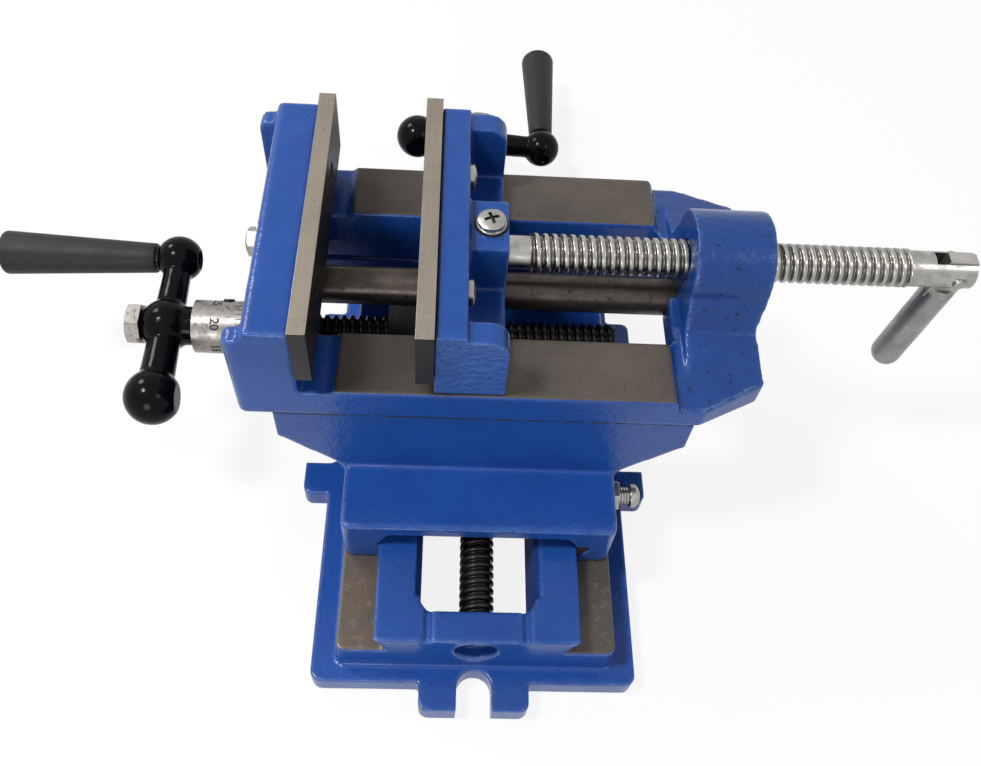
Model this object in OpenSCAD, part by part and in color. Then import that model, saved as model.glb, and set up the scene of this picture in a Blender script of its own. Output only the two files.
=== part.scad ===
// Two-axis cross slide vise for a drill press table, jaw plates 100 mm wide.
// Millimetres, +Z up, +X along the jaw opening towards the folding handle, +Y to the back.
// The origin is the middle of the base's underside. Screw threads are drawn as plain rods.

/* [Base] */
// width of the base flange without its side lugs
base_w = 113; // [95:1:140]
// length of the base flange without its end lugs
base_l = 229; // [215:1:260]
// thickness of the base flange
base_t = 10; // [7:0.5:14]
// how far every bolt lug stands out of the flange
lug_reach = 9.5; // [8:0.5:14]
// width of the U slots for the table bolts
slot_w = 12; // [9:0.5:15]
// width of the tine on each side of a U slot
tine_w = 13; // [9:0.5:18]
// depth of a U slot from the lug's tip to the end of its round
slot_depth = 14; // [12:0.5:18]
// length of each side lug
side_lug_l = 86; // [78:1:100]
// width of the raised pad that carries the ways
pad_w = 95; // [88:1:104]
// length of the raised pad
pad_l = 216.6; // [205:0.2:226]
// height of the base ways over the table
way_z = 24; // [20:0.5:28]
// width of the base dovetail over its top
dove_w = 69; // [64:0.5:74]
// height of the dovetails
dove_h = 10; // [8:0.5:12]
// slope of the dovetail flanks
dove_angle = 65; // [55:1:75]
// width of the window through the base
window_w = 39; // [34:0.5:42]
// thickness of the bars at the two ends of the window
end_bar = 10.8; // [9:0.2:14]
// width of the bearing boss in each end bar
boss_w = 33; // [30:0.5:36]

/* [Saddle] */
// how far the saddle stands from the middle of the base
saddle_y = -3; // [-20:0.5:20]
// width of the saddle's lower block
block_w = 94; // [88:1:104]
// length of the saddle's lower block
block_l = 142.8; // [130:0.2:150]
// height of the saddle's lower block
block_h = 22.7; // [20.7:0.5:25.7]
// length of the saddle's upper part
rail_l = 136; // [124:1:150]
// width of the saddle's upper part and of the vise over its rails
rail_w = 97; // [94:0.5:100]
// height of the saddle's upper part over the lower block
rail_h = 34; // [32:0.5:37]
// height of a wing's end under the saddle's top
wing_h = 15.5; // [10:0.5:20]
// width of the channel for the table screw
channel_w = 51; // [46:0.5:54]
// thickness of both gib strips
gib_t = 3.5; // [3:0.1:4]

/* [Vise body] */
// left end of the vise body
vise_x0 = -78.5; // [-84:0.5:-76]
// right end of the vise body
vise_x1 = 87.5; // [85:0.5:94]
// height of the jaw ways over the underside of the vise
way_h = 13.3; // [11.3:0.1:15.3]
// left end of the jaw ways
way_x0 = -47.7; // [-52:0.1:-44]
// right end of the jaw ways
way_x1 = 59; // [54:0.5:60]
// left face of the screw tower
tower_x = 64; // [62:0.5:68]
// radius of the tower's hump over the screw
hump_r = 16.5; // [13:0.5:17]
// depth of the pocket in the back of the fixed jaw
pocket_d = 6; // [4:0.5:8]
// width of the two fins beside that pocket
fin_w = 6.5; // [5:0.5:10]

/* [Jaws] */
// length of both jaw plates
plate_l = 100; // [98:1:110]
// height of both jaw plates
plate_h = 23; // [20:0.5:26]
// thickness of both jaw plates
plate_t = 5.5; // [5:0.1:8]
// height of the top of the jaw plates over the jaw ways
plate_rise = 31.4; // [29.4:0.1:33.4]
// working face of the fixed jaw plate
fixed_face_x = -52.9; // [-54:0.1:-50]
// opening between the jaw plates as drawn
jaw_gap = 30.4; // [10:0.1:50]
// thickness of the moving jaw behind its plate
jaw_back = 9.5; // [8:0.5:12]
// length of the moving jaw's foot behind its plate
jaw_foot = 22; // [20:0.5:26]
// distance of the jaw bolts from the middle
jaw_bolt_y = 24.5; // [18:0.5:28]
// diameter of the jaw bolts
jaw_bolt_d = 6; // [5:0.5:7]

/* [Screws] */
// diameter of the two feed screws
feed_d = 12; // [11:0.5:13]
// diameter of the feed screws in their bearings
journal_d = 10; // [9:0.5:10.5]
// height of the table feed screw over the saddle's lower block
feed_rise = 13; // [12:0.5:15]
// length of the table feed screw's thread
table_thread_l = 108.5; // [90:0.5:115]
// diameter of the vise screw
vise_screw_d = 13; // [12:0.5:14]
// height of the vise screw over the jaw ways
screw_rise = 12.4; // [11.4:0.1:13.4]
// diameter of the vise screw's plain neck
neck_d = 11; // [10:0.5:11.5]
// diameter of the vise screw's slotted end
tail_d = 12; // [11:0.5:12.5]
// length of the vise screw from the moving jaw to its end
vise_screw_l = 155; // [150:0.5:165]
// diameter of the guide rod
rod_d = 13; // [12:0.5:14]
// depth of the guide rod under the jaw ways
rod_drop = 7.6; // [6.6:0.1:8.6]
// diameter of the folding handle
handle_d = 10.5; // [9:0.5:11]
// length of the folding handle from its pin
handle_l = 52; // [44:0.5:60]

/* [Cranks] */
// distance from a bearing face to the crank's middle
crank_reach = 29; // [28:0.5:34]
// distance from the crank's middle to each end ball
crank_r = 29.5; // [26:0.5:36]
// diameter of the ball in the crank's middle
hub_ball_d = 19; // [18:0.5:21]
// diameter of the counterweight ball
weight_ball_d = 19.5; // [17:0.5:22]
// diameter of the ball that carries the grip
grip_ball_d = 17; // [16:0.5:18]
// diameter of the graduated collar
dial_d = 19; // [17:0.5:22]
// length of the graduated collar
dial_l = 18; // [15:0.5:19]
// length of the turning grip
grip_l = 56; // [45:0.5:70]
// diameter of the grip at its free end
grip_d1 = 16; // [15.5:0.5:18]
// diameter of the grip at the ball
grip_d0 = 11; // [10:0.5:12]
// turn of the cross crank as drawn
cross_crank_turn = 3.9; // [0:0.1:360]
// turn of the table crank as drawn
table_crank_turn = 86.5; // [0:0.1:360]

/* [Clearances] */
// space between faces that slide past each other
slide_gap = 0.3; // [0.2:0.05:0.5]
// radial clearance of a rod that turns or sits in a bore
run_fit = 0.05; // [0.02:0.01:0.09]

/* [Hidden] */
$fn = 64;
small = 0.01;
cast_r = 3;
lug_wall = 5;
dove_run = dove_h / tan(dove_angle);
dove_z = way_z + dove_h;
window_l = pad_l - 2 * end_bar;
cross_z = way_z;
floor_z = way_z + slide_gap;
step_z = floor_z + block_h;
saddle_z = step_z + rail_h;
table_screw_z = step_z + feed_rise;
cross_face_y = pad_l / 2;
relief_z = step_z - 6;
table_dove_z = saddle_z - dove_h;
vise_z = saddle_z + slide_gap;
jaw_way_z = vise_z + way_h;
rod_z = jaw_way_z - rod_drop;
vise_screw_z = jaw_way_z + screw_rise;
plate_z = jaw_way_z + plate_rise;
bar_w = 7.5;
neck_y = channel_w / 2 + bar_w;
toe_y = neck_y + dove_run;
bed_z = jaw_way_z - 1.5;
block_x1 = fixed_face_x - plate_t;
block_x0 = vise_x0 + pocket_d;
fin_z = plate_z - 7;
block_top_z = plate_z - 3;
bed_x1 = tower_x - 3;
foot_z = jaw_way_z + slide_gap;
jaw_face_x = fixed_face_x + jaw_gap;
jaw_x = jaw_face_x + plate_t;
jaw_x1 = jaw_x + jaw_foot;
keeper_x = jaw_x + jaw_back + 6.9;
jaw_bolt_z = plate_z - plate_h / 2 + 1;
table_face_x = block_x0 - 12;
table_bush_x1 = block_x0 + 10.5;
bush_wall = 3;
bush_d = journal_d + 2 * bush_wall;
boss_d = bush_d + 8;
nut_w = 26;
nut_l = 26;
nut_wall = 5;
table_nut_l = 20;
table_nut_x = -24;
nut_bolt_d = 5;
gib_screw_d = 6;
gib_screw_out = 9;
gib_head_d = 8.5;
gib_nut_w = 10;
gib_nut_h = 4.2;
gib_screw_y = 48;
cross_gib_z = way_z + 0.6 * dove_h;
table_gib_z = saddle_z - dove_h / 2;
grip_pin_d = 6;
ball_flat = 0.04 * grip_ball_d;
grip_start = grip_ball_d / 2 - ball_flat + slide_gap;
pin_head_d = 9.5;
pin_head_h = 3;
tail_l = 22;
tail_x0 = jaw_x1 + vise_screw_l - tail_l;
tail_x1 = jaw_x1 + vise_screw_l;
pin_x = tail_x1 - 5.2;
pin_d = 4;
tongue_t = 4.6;
handle_lean = 5;
dial_screw_z = 7;
dial_screw_d = 4;
dial_screw_turn = -36;
crank_seat = crank_reach + hub_ball_d / 2 - 1.3;
hub_boss_d = 14;
gib_side = gib_t / sin(dove_angle);
gib_room = 2 * slide_gap + gib_side;
nut_bolt_y = 9;
table_nut_bolt_y = 9;
cross_gib_seat = dove_w / 2 - dove_run / 2 + slide_gap + gib_side - 0.8;
table_gib_seat = neck_y + dove_run / 2 + slide_gap + gib_side - 0.8;
keeper_d = 5;
keeper_washer_d = 9.8;
keeper_washer_h = 1.1;
head_d = 8.6;
head_h = 2.4;
head_sink = head_h + 0.3;
tie_d = 5;
tie_flats = 8.5;
tie_head_h = 4.5;
tie_washer_d = 17;
tie_washer_h = 1.5;
back_bevel = 3;
hump_out = 2;
foot_flare = 1.4;
foot_cut = 10;
foot_rise = 1.6;
foot_drop = 4.6;
crank_head_w = 13.5;
crank_head_h = 5;
slot_run = 8.7;
tongue_top = 6.2;
keeper_seat_z = vise_screw_z + neck_d / 2 + 7;
nose_x = jaw_x + 8;
gib_screw_ys = [-gib_screw_y, 0, gib_screw_y];
top_gap = 1;
end_play = 0.4;
top_run = top_gap / tan(dove_angle);
toe_run = slide_gap / tan(dove_angle);

// a rectangle with round corners
module round_plan(w, l, r) {
    square([w - 2 * r, l], center = true);
    square([w, l - 2 * r], center = true);
    for (x = [-1, 1], y = [-1, 1]) translate([x * (w / 2 - r), y * (l / 2 - r)]) circle(r);
}

// a rod along X from a to b
module rod_x(d, a, b) {
    translate([a, 0, 0]) rotate([0, 90, 0]) cylinder(d = d, h = b - a);
}

// a rod along Y from a to b
module rod_y(d, a, b) {
    translate([0, a, 0]) rotate([-90, 0, 0]) cylinder(d = d, h = b - a);
}

// a hexagon prism along Z, measured across its flats
module hex(flats, h) {
    cylinder(d = flats / cos(30), h = h, $fn = 6);
}

// a profile in X and Z, pulled along Y about the middle
module along_y(l) {
    rotate([90, 0, 0]) linear_extrude(l, center = true) children();
}

// a profile in Y and Z, pulled along X from a to b
module along_x(a, b) {
    translate([a, 0, 0]) rotate([90, 0, 90]) linear_extrude(b - a) children();
}

// a rectangle from one corner to the other with its upper left corner rounded
module soft_corner(x0, y0, x1, y1, r) {
    translate([x0 + r, y0]) square([x1 - x0 - r, y1 - y0]);
    translate([x0, y0]) square([x1 - x0, y1 - y0 - r]);
    translate([x0 + r, y1 - r]) circle(r);
}

// the same piece on both sides of the XZ plane
module both_y() {
    children();
    mirror([0, 1, 0]) children();
}

// everything that the saddle carries
module on_saddle() {
    translate([0, saddle_y, 0]) children();
}

// a cross crank piece, drawn along +Z from its bearing face
module at_cross() {
    translate([0, cross_face_y, cross_z]) rotate([-90, 0, 0]) rotate([0, 0, cross_crank_turn]) children();
}

// a table crank piece, drawn along +Z from its bearing face
module at_table() {
    translate([table_face_x, saddle_y, table_screw_z]) rotate([0, -90, 0])
        rotate([0, 0, table_crank_turn]) children();
}

// one U slot that opens towards +Y at the given tip
module u_slot(tip) {
    translate([0, tip - slot_depth + slot_w / 2]) {
        circle(d = slot_w);
        translate([-slot_w / 2, 0]) square([slot_w, slot_depth]);
    }
}

// outline of the flange with its four lugs and six U slots
module base_plan() {
    difference() {
        union() {
            round_plan(base_w, base_l, 4);
            round_plan(slot_w + 2 * tine_w, base_l + 2 * lug_reach, 3);
            round_plan(base_w + 2 * lug_reach, side_lug_l, 3);
        }
        for (a = [0, 180]) rotate(a) u_slot(base_l / 2 + lug_reach);
        for (a = [90, -90], s = [-1, 1])
            rotate(a) translate([s * (side_lug_l - slot_w - 2 * tine_w) / 2, 0])
                u_slot(base_w / 2 + lug_reach);
    }
}

// flange, pad, male dovetail and window of the base casting
module base() {
    color("royalblue") difference() {
        union() {
            linear_extrude(base_t) base_plan();
            linear_extrude(way_z) round_plan(pad_w, pad_l, 3);
            along_y(pad_l) polygon([[-dove_w / 2 + dove_run, way_z - small], [-dove_w / 2, dove_z],
                [dove_w / 2, dove_z], [dove_w / 2 - dove_run, way_z - small]]);
        }
        translate([0, 0, -1]) linear_extrude(dove_z + 2) round_plan(window_w, window_l, 5);
        // bevel along the inner edges of the two side bars
        for (s = [-1, 1])
            along_y(window_l - 10) polygon([[s * (window_w / 2 - 1), dove_z - 5],
                [s * (window_w / 2 + 2.4), dove_z + 1], [s * (window_w / 2 - 1), dove_z + 1]]);
        // V grooves beside the bearing bosses in the end bars
        for (s = [-1, 1])
            translate([s * boss_w / 2, 0, dove_z + 0.6]) along_y(pad_l + 2) rotate(45)
                square(3.4, center = true);
        // bevel on the top of the back end bar
        translate([0, pad_l / 2, dove_z]) rotate([45, 0, 0])
            cube([pad_w, sqrt(2) * back_bevel, sqrt(2) * back_bevel], center = true);
        // open front bearing
        translate([0, 0, cross_z]) {
            rod_y(journal_d + 2 * run_fit, -pad_l / 2 - 1, -window_l / 2 + 1);
            rod_y(journal_d + 4.4, -pad_l / 2 - 1, -pad_l / 2 + 5);
            rod_y(bush_d + 2 * run_fit, window_l / 2 - 1, pad_l / 2 + 1);
        }
        // the casting is hollow between its ribs
        for (sx = [-1, 1], y = [-62, 0, 62])
            translate([sx * (window_w / 2 + pad_w / 2) / 2, y, -1])
                linear_extrude(way_z - 8) round_plan((pad_w - window_w) / 2 - 14, 50, 4);
    }
}

// bronze bush of the cross screw
module bush(l) {
    difference() {
        cylinder(d = bush_d, h = l);
        translate([0, 0, -1]) cylinder(d = journal_d + 2 * run_fit, h = l + 2);
    }
}

module cross_bush() {
    color("peru") translate([0, cross_face_y - end_bar, cross_z]) rotate([-90, 0, 0]) bush(end_bar);
}

// feed screw from its bearing face: stub for the crank, journal, thread and far journal
module feed_shape(bearing_l, thread_l, nose_l) {
    difference() {
        union() {
            translate([0, 0, -bearing_l - 1]) cylinder(d = journal_d, h = bearing_l + crank_reach + 5);
            translate([0, 0, -bearing_l - thread_l]) cylinder(d = feed_d, h = thread_l);
            translate([0, 0, -bearing_l - thread_l - nose_l]) cylinder(d = journal_d, h = nose_l + 1);
        }
        translate([0, 0, crank_reach - 12]) cylinder(d = nut_bolt_d + 2 * run_fit, h = 30);
    }
}

module cross_screw() {
    color("dimgray") at_cross() feed_shape(end_bar + end_play, window_l - 2 * end_play, end_bar - 5);
}

// graduated collar with its cross-drilled hole for the set screw
module dial_shape() {
    difference() {
        translate([0, 0, end_play]) cylinder(d = dial_d, h = dial_l);
        cylinder(d = journal_d + 2 * run_fit, h = dial_l + 2);
        rotate([0, 0, dial_screw_turn]) translate([0, 0, dial_screw_z]) rotate([0, 90, 0])
            cylinder(d = dial_screw_d + 2 * run_fit, h = dial_d);
    }
}

// headless set screw of a dial
module dial_screw_shape() {
    rotate([0, 0, dial_screw_turn]) translate([journal_d / 2, 0, dial_screw_z]) rotate([0, 90, 0])
    difference() {
        cylinder(d = dial_screw_d, h = (dial_d - journal_d) / 2 + 0.6);
        translate([0, 0, (dial_d - journal_d) / 2 - 1]) hex(2, 3);
    }
}

module cross_dial() { color("silver") at_cross() dial_shape(); }
module cross_dial_screw() { color("black") at_cross() dial_screw_shape(); }

// three balls on one tapered arm, with flats where the dial, bolt and grip sit
module crank_shape() {
    difference() {
        translate([0, 0, crank_reach]) {
            sphere(d = hub_ball_d);
            translate([-crank_r, 0, 0]) sphere(d = weight_ball_d);
            translate([crank_r, 0, 0]) sphere(d = grip_ball_d);
            translate([-crank_r, 0, 0]) rotate([0, 90, 0])
                cylinder(d1 = weight_ball_d - 7, d2 = grip_ball_d - 7.5, h = 2 * crank_r);
            translate([0, 0, dial_l + end_play - crank_reach])
                cylinder(d = hub_boss_d, h = crank_reach - dial_l - end_play);
        }
        translate([-15, -15, 0]) cube([30, 30, dial_l + end_play]);
        translate([-15, -15, crank_seat]) cube([30, 30, 20]);
        translate([crank_r - 15, -15, crank_reach + grip_ball_d / 2 - ball_flat]) cube([30, 30, 10]);
        translate([crank_r - 15, -15, crank_reach - grip_ball_d / 2 - 10 + ball_flat])
            cube([30, 30, 10]);
        translate([-crank_r - 15, -15, crank_reach - weight_ball_d / 2 - 10 + 1.4]) cube([30, 30, 10]);
        cylinder(d = journal_d + 2 * run_fit, h = crank_reach + 4);
        cylinder(d = nut_bolt_d + 2 * run_fit, h = 60);
        translate([crank_r, 0, crank_reach - 4]) cylinder(d = grip_pin_d + 2 * run_fit, h = 20);
        translate([crank_r, 0, 0]) cylinder(d = 7, h = crank_reach - grip_ball_d / 2 + 3);
    }
}

// hex bolt that holds a crank on its screw
module crank_bolt_shape() {
    translate([0, 0, crank_seat]) difference() {
        intersection() {
            hex(crank_head_w, crank_head_h);
            translate([0, 0, crank_head_h + 1.4 - 1.24 * crank_head_w]) sphere(r = 1.24 * crank_head_w);
        }
        translate([0, 0, crank_head_h - 0.6]) cylinder(d = 0.6 * crank_head_w, h = 2);
    }
    translate([0, 0, crank_reach - 10]) cylinder(d = nut_bolt_d, h = crank_seat - crank_reach + 10.5);
}

// shouldered pin that the grip turns on
module grip_pin_shape() {
    translate([crank_r, 0, crank_reach]) {
        translate([0, 0, -4]) cylinder(d = grip_pin_d, h = grip_start + grip_l + 5 - 2 * pin_head_h);
        translate([0, 0, grip_start + grip_l - 2 * pin_head_h + slide_gap]) difference() {
            cylinder(d = pin_head_d, h = pin_head_h);
            translate([0, 0, pin_head_h / 2]) hex(pin_head_d - 5.5, pin_head_h);
        }
    }
}

// tapered grip with a blunt free end
module grip_shape() {
    translate([crank_r, 0, crank_reach + grip_start]) difference() {
        rotate_extrude() {
            polygon([[0, 0], [grip_d0 / 2 - 0.4, 0], [grip_d0 / 2, 0.4], [grip_d1 / 2, grip_l - 4],
                [grip_d1 / 2 - 0.3, grip_l - 1.9], [grip_d1 / 2 - 1, grip_l - 0.6],
                [grip_d1 / 2 - 2, grip_l], [0, grip_l]]);
        }
        translate([0, 0, -1]) cylinder(d = grip_pin_d + 2 * run_fit, h = grip_l + 2);
        translate([0, 0, grip_l - 2 * pin_head_h])
            cylinder(d = pin_head_d + 2 * slide_gap, h = 3 * pin_head_h);
    }
}

module cross_crank() { color("black") at_cross() crank_shape(); }
module cross_crank_bolt() { color("silver") at_cross() crank_bolt_shape(); }
module cross_grip_pin() { color("gray") at_cross() grip_pin_shape(); }
module cross_grip() { color("dimgray") at_cross() grip_shape(); }

// female dovetail along Y with room for the gib on the right
module cross_dove_space() {
    along_y(block_l + 2) polygon([
        [-dove_w / 2 + dove_run - slide_gap, way_z], [-dove_w / 2 - top_run - slide_gap, dove_z + top_gap],
        [dove_w / 2 + top_run + gib_room, dove_z + top_gap], [dove_w / 2 - dove_run + gib_room, way_z]]);
    along_y(block_l + 2) polygon([[-dove_w / 2, dove_z + top_gap - small], [-dove_w / 2 + 3.5, relief_z],
        [dove_w / 2 - 3.5, relief_z], [dove_w / 2, dove_z + top_gap - small]]);
}

// female dovetail along X with room for the gib at the back
module table_dove_space() {
    along_x(-rail_l / 2 - 1, rail_l / 2 + 1) polygon([[-neck_y - slide_gap, saddle_z],
        [-toe_y - slide_gap, table_dove_z], [toe_y + gib_room, table_dove_z],
        [neck_y + gib_room, saddle_z], [neck_y + gib_room, saddle_z + 1],
        [-neck_y - slide_gap, saddle_z + 1]]);
}

// crossed slides in one casting: a block over the base, two rails under the vise
module saddle() {
    wing_z = saddle_z - wing_h;
    color("royalblue") on_saddle() difference() {
        union() {
            translate([0, 0, floor_z]) linear_extrude(step_z - floor_z) round_plan(block_w, block_l, 3);
            along_y(rail_w - 2) polygon([[-block_w / 2, step_z - 4], [-block_w / 2 - 3, step_z + 2],
                [-rail_l / 2, wing_z], [-rail_l / 2, saddle_z], [rail_l / 2, saddle_z],
                [rail_l / 2, wing_z], [block_w / 2 + 3, step_z + 2], [block_w / 2, step_z - 4]]);
        }
        translate([-rail_l / 2 - 1, -channel_w / 2, step_z]) cube([rail_l + 2, channel_w, 60]);
        translate([-rail_l / 2 - 1, -channel_w / 2, step_z - 10])
            cube([rail_l / 2 - block_w / 2 + 1, channel_w, 60]);
        translate([block_w / 2, -channel_w / 2, step_z - 10])
            cube([rail_l / 2 - block_w / 2 + 1, channel_w, 60]);
        cross_dove_space();
        table_dove_space();
        for (y = gib_screw_ys) translate([0, y, cross_gib_z])
            rod_x(gib_screw_d + 2 * run_fit, dove_w / 2 - dove_run, block_w);
        for (x = gib_screw_ys) translate([x, 0, table_gib_z])
            rod_y(gib_screw_d + 2 * run_fit, toe_y - 2, rail_w);
        for (y = [-1, 1]) translate([0, y * nut_bolt_y, relief_z - 1])
            cylinder(d = nut_bolt_d + 2 * run_fit, h = 10);
        for (y = [-1, 1]) translate([table_nut_x, y * table_nut_bolt_y, relief_z - 1])
            cylinder(d = nut_bolt_d + 2 * run_fit, h = 10);
    }
}

// socket head screw along -Z under its head
module cap_screw(d, l) {
    difference() {
        union() {
            translate([0, 0, -l]) cylinder(d = d, h = l + 0.5);
            cylinder(d = 1.7 * d, h = 0.8 * d);
        }
        translate([0, 0, 0.4 * d]) hex(0.8 * d, d);
    }
}

// block that hangs from the saddle round the cross screw
module cross_nut() {
    color("dimgray") on_saddle() difference() {
        translate([-nut_w / 2, -nut_l / 2, cross_z - feed_d / 2 - nut_wall])
            cube([nut_w, nut_l, relief_z - cross_z + feed_d / 2 + nut_wall]);
        translate([0, 0, cross_z]) rod_y(feed_d + 2 * run_fit, -nut_l, nut_l);
        for (y = [-1, 1]) translate([0, y * nut_bolt_y, relief_z - 9])
            cylinder(d = nut_bolt_d + 2 * run_fit, h = 10);
    }
}

module cross_nut_bolts() {
    color("black") on_saddle() for (y = [-1, 1])
        translate([0, y * nut_bolt_y, step_z]) cap_screw(nut_bolt_d, 14);
}

// block on the saddle's floor round the table screw
module table_nut() {
    color("dimgray") on_saddle() translate([table_nut_x, 0, 0]) difference() {
        translate([-table_nut_l / 2, -nut_w / 2, step_z])
            cube([table_nut_l, nut_w, table_screw_z - step_z + feed_d / 2 + nut_wall]);
        translate([0, 0, table_screw_z]) rod_x(feed_d + 2 * run_fit, -table_nut_l, table_nut_l);
        for (y = [-1, 1]) translate([0, y * table_nut_bolt_y, step_z - 1])
            cylinder(d = nut_bolt_d + 2 * run_fit, h = 9);
    }
}

module table_nut_bolts() {
    color("black") on_saddle() for (y = [-1, 1])
        translate([table_nut_x, y * table_nut_bolt_y, relief_z]) mirror([0, 0, 1]) cap_screw(nut_bolt_d, 13);
}

// gib strip of the cross slide, dimpled for its screws
module cross_gib() {
    a = dove_w / 2 + slide_gap;
    color("darkgoldenrod") on_saddle() difference() {
        along_y(block_l - 1) polygon([
            [a - dove_run + 0.8 / tan(dove_angle), way_z + 0.8], [a - 0.4 / tan(dove_angle), dove_z - 0.4],
            [a + gib_side - 0.4 / tan(dove_angle), dove_z - 0.4],
            [a - dove_run + gib_side + 0.8 / tan(dove_angle), way_z + 0.8]]);
        for (y = gib_screw_ys) translate([0, y, cross_gib_z])
            rod_x(gib_screw_d + 2 * run_fit, cross_gib_seat, block_w);
    }
}

// gib strip of the table slide
module table_gib() {
    color("darkgoldenrod") on_saddle() difference() {
        along_x(-rail_l / 2 + 1, rail_l / 2 - 1) polygon([
            [neck_y + slide_gap + 0.4 / tan(dove_angle), saddle_z - 0.4],
            [toe_y + slide_gap - 0.8 / tan(dove_angle), table_dove_z + 0.8],
            [toe_y + slide_gap + gib_side - 0.8 / tan(dove_angle), table_dove_z + 0.8],
            [neck_y + slide_gap + gib_side + 0.4 / tan(dove_angle), saddle_z - 0.4]]);
        for (x = gib_screw_ys) translate([x, 0, table_gib_z])
            rod_y(gib_screw_d + 2 * run_fit, table_gib_seat, rail_w);
    }
}

// gib screw with a domed head, along +Z from its tip, with the nut face given
module gib_screw_shape(nut_face) {
    cylinder(d = gib_screw_d, h = nut_face + gib_screw_out);
    translate([0, 0, nut_face + gib_screw_out - 0.5]) intersection() {
        cylinder(d = gib_head_d, h = gib_head_d);
        translate([0, 0, -0.19 * gib_head_d]) sphere(d = 1.3 * gib_head_d);
    }
}

// lock nut on a gib screw
module gib_nut_shape(nut_face) {
    translate([0, 0, nut_face]) difference() {
        hex(gib_nut_w, gib_nut_h);
        translate([0, 0, -1]) cylinder(d = gib_screw_d + 2 * run_fit, h = gib_nut_h + 2);
    }
}

module at_cross_gib() {
    on_saddle() for (y = gib_screw_ys)
        translate([cross_gib_seat, y, cross_gib_z]) rotate([0, 90, 0]) rotate([0, 0, 30]) children();
}

module at_table_gib() {
    on_saddle() for (x = gib_screw_ys)
        translate([x, table_gib_seat, table_gib_z]) rotate([-90, 0, 0]) children();
}

module cross_gib_screws() { color("silver") at_cross_gib() gib_screw_shape(block_w / 2 - cross_gib_seat); }
module cross_gib_nuts() { color("silver") at_cross_gib() gib_nut_shape(block_w / 2 - cross_gib_seat); }
module table_gib_screws() { color("silver") at_table_gib() gib_screw_shape(rail_w / 2 - 1 - table_gib_seat); }
module table_gib_nuts() { color("silver") at_table_gib() gib_nut_shape(rail_w / 2 - 1 - table_gib_seat); }

// plan of the vise body with the cut corners beside the tower
module vise_plan() {
    polygon([[vise_x0 + cast_r, -rail_w / 2], [tower_x + 5, -rail_w / 2],
        [vise_x1 + foot_flare, -rail_w / 2 + foot_cut], [vise_x1, -hump_r], [vise_x1, hump_r],
        [vise_x1 + foot_flare, rail_w / 2 - foot_cut], [tower_x + 5, rail_w / 2],
        [vise_x0 + cast_r, rail_w / 2]]);
    translate([vise_x0, -rail_w / 2 + cast_r]) square([2 * cast_r, rail_w - 2 * cast_r]);
    for (y = [-1, 1]) translate([vise_x0 + cast_r, y * (rail_w / 2 - cast_r)]) circle(cast_r);
}

// half of the tower seen along X: hump over the screw, steep flank and sloping foot
module tower_half() {
    polygon([[0, vise_z], [0, vise_screw_z], [hump_r, vise_screw_z], [hump_r + 5, jaw_way_z + foot_rise],
        [rail_w / 2, jaw_way_z - foot_drop], [rail_w / 2, vise_z]]);
}

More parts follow.
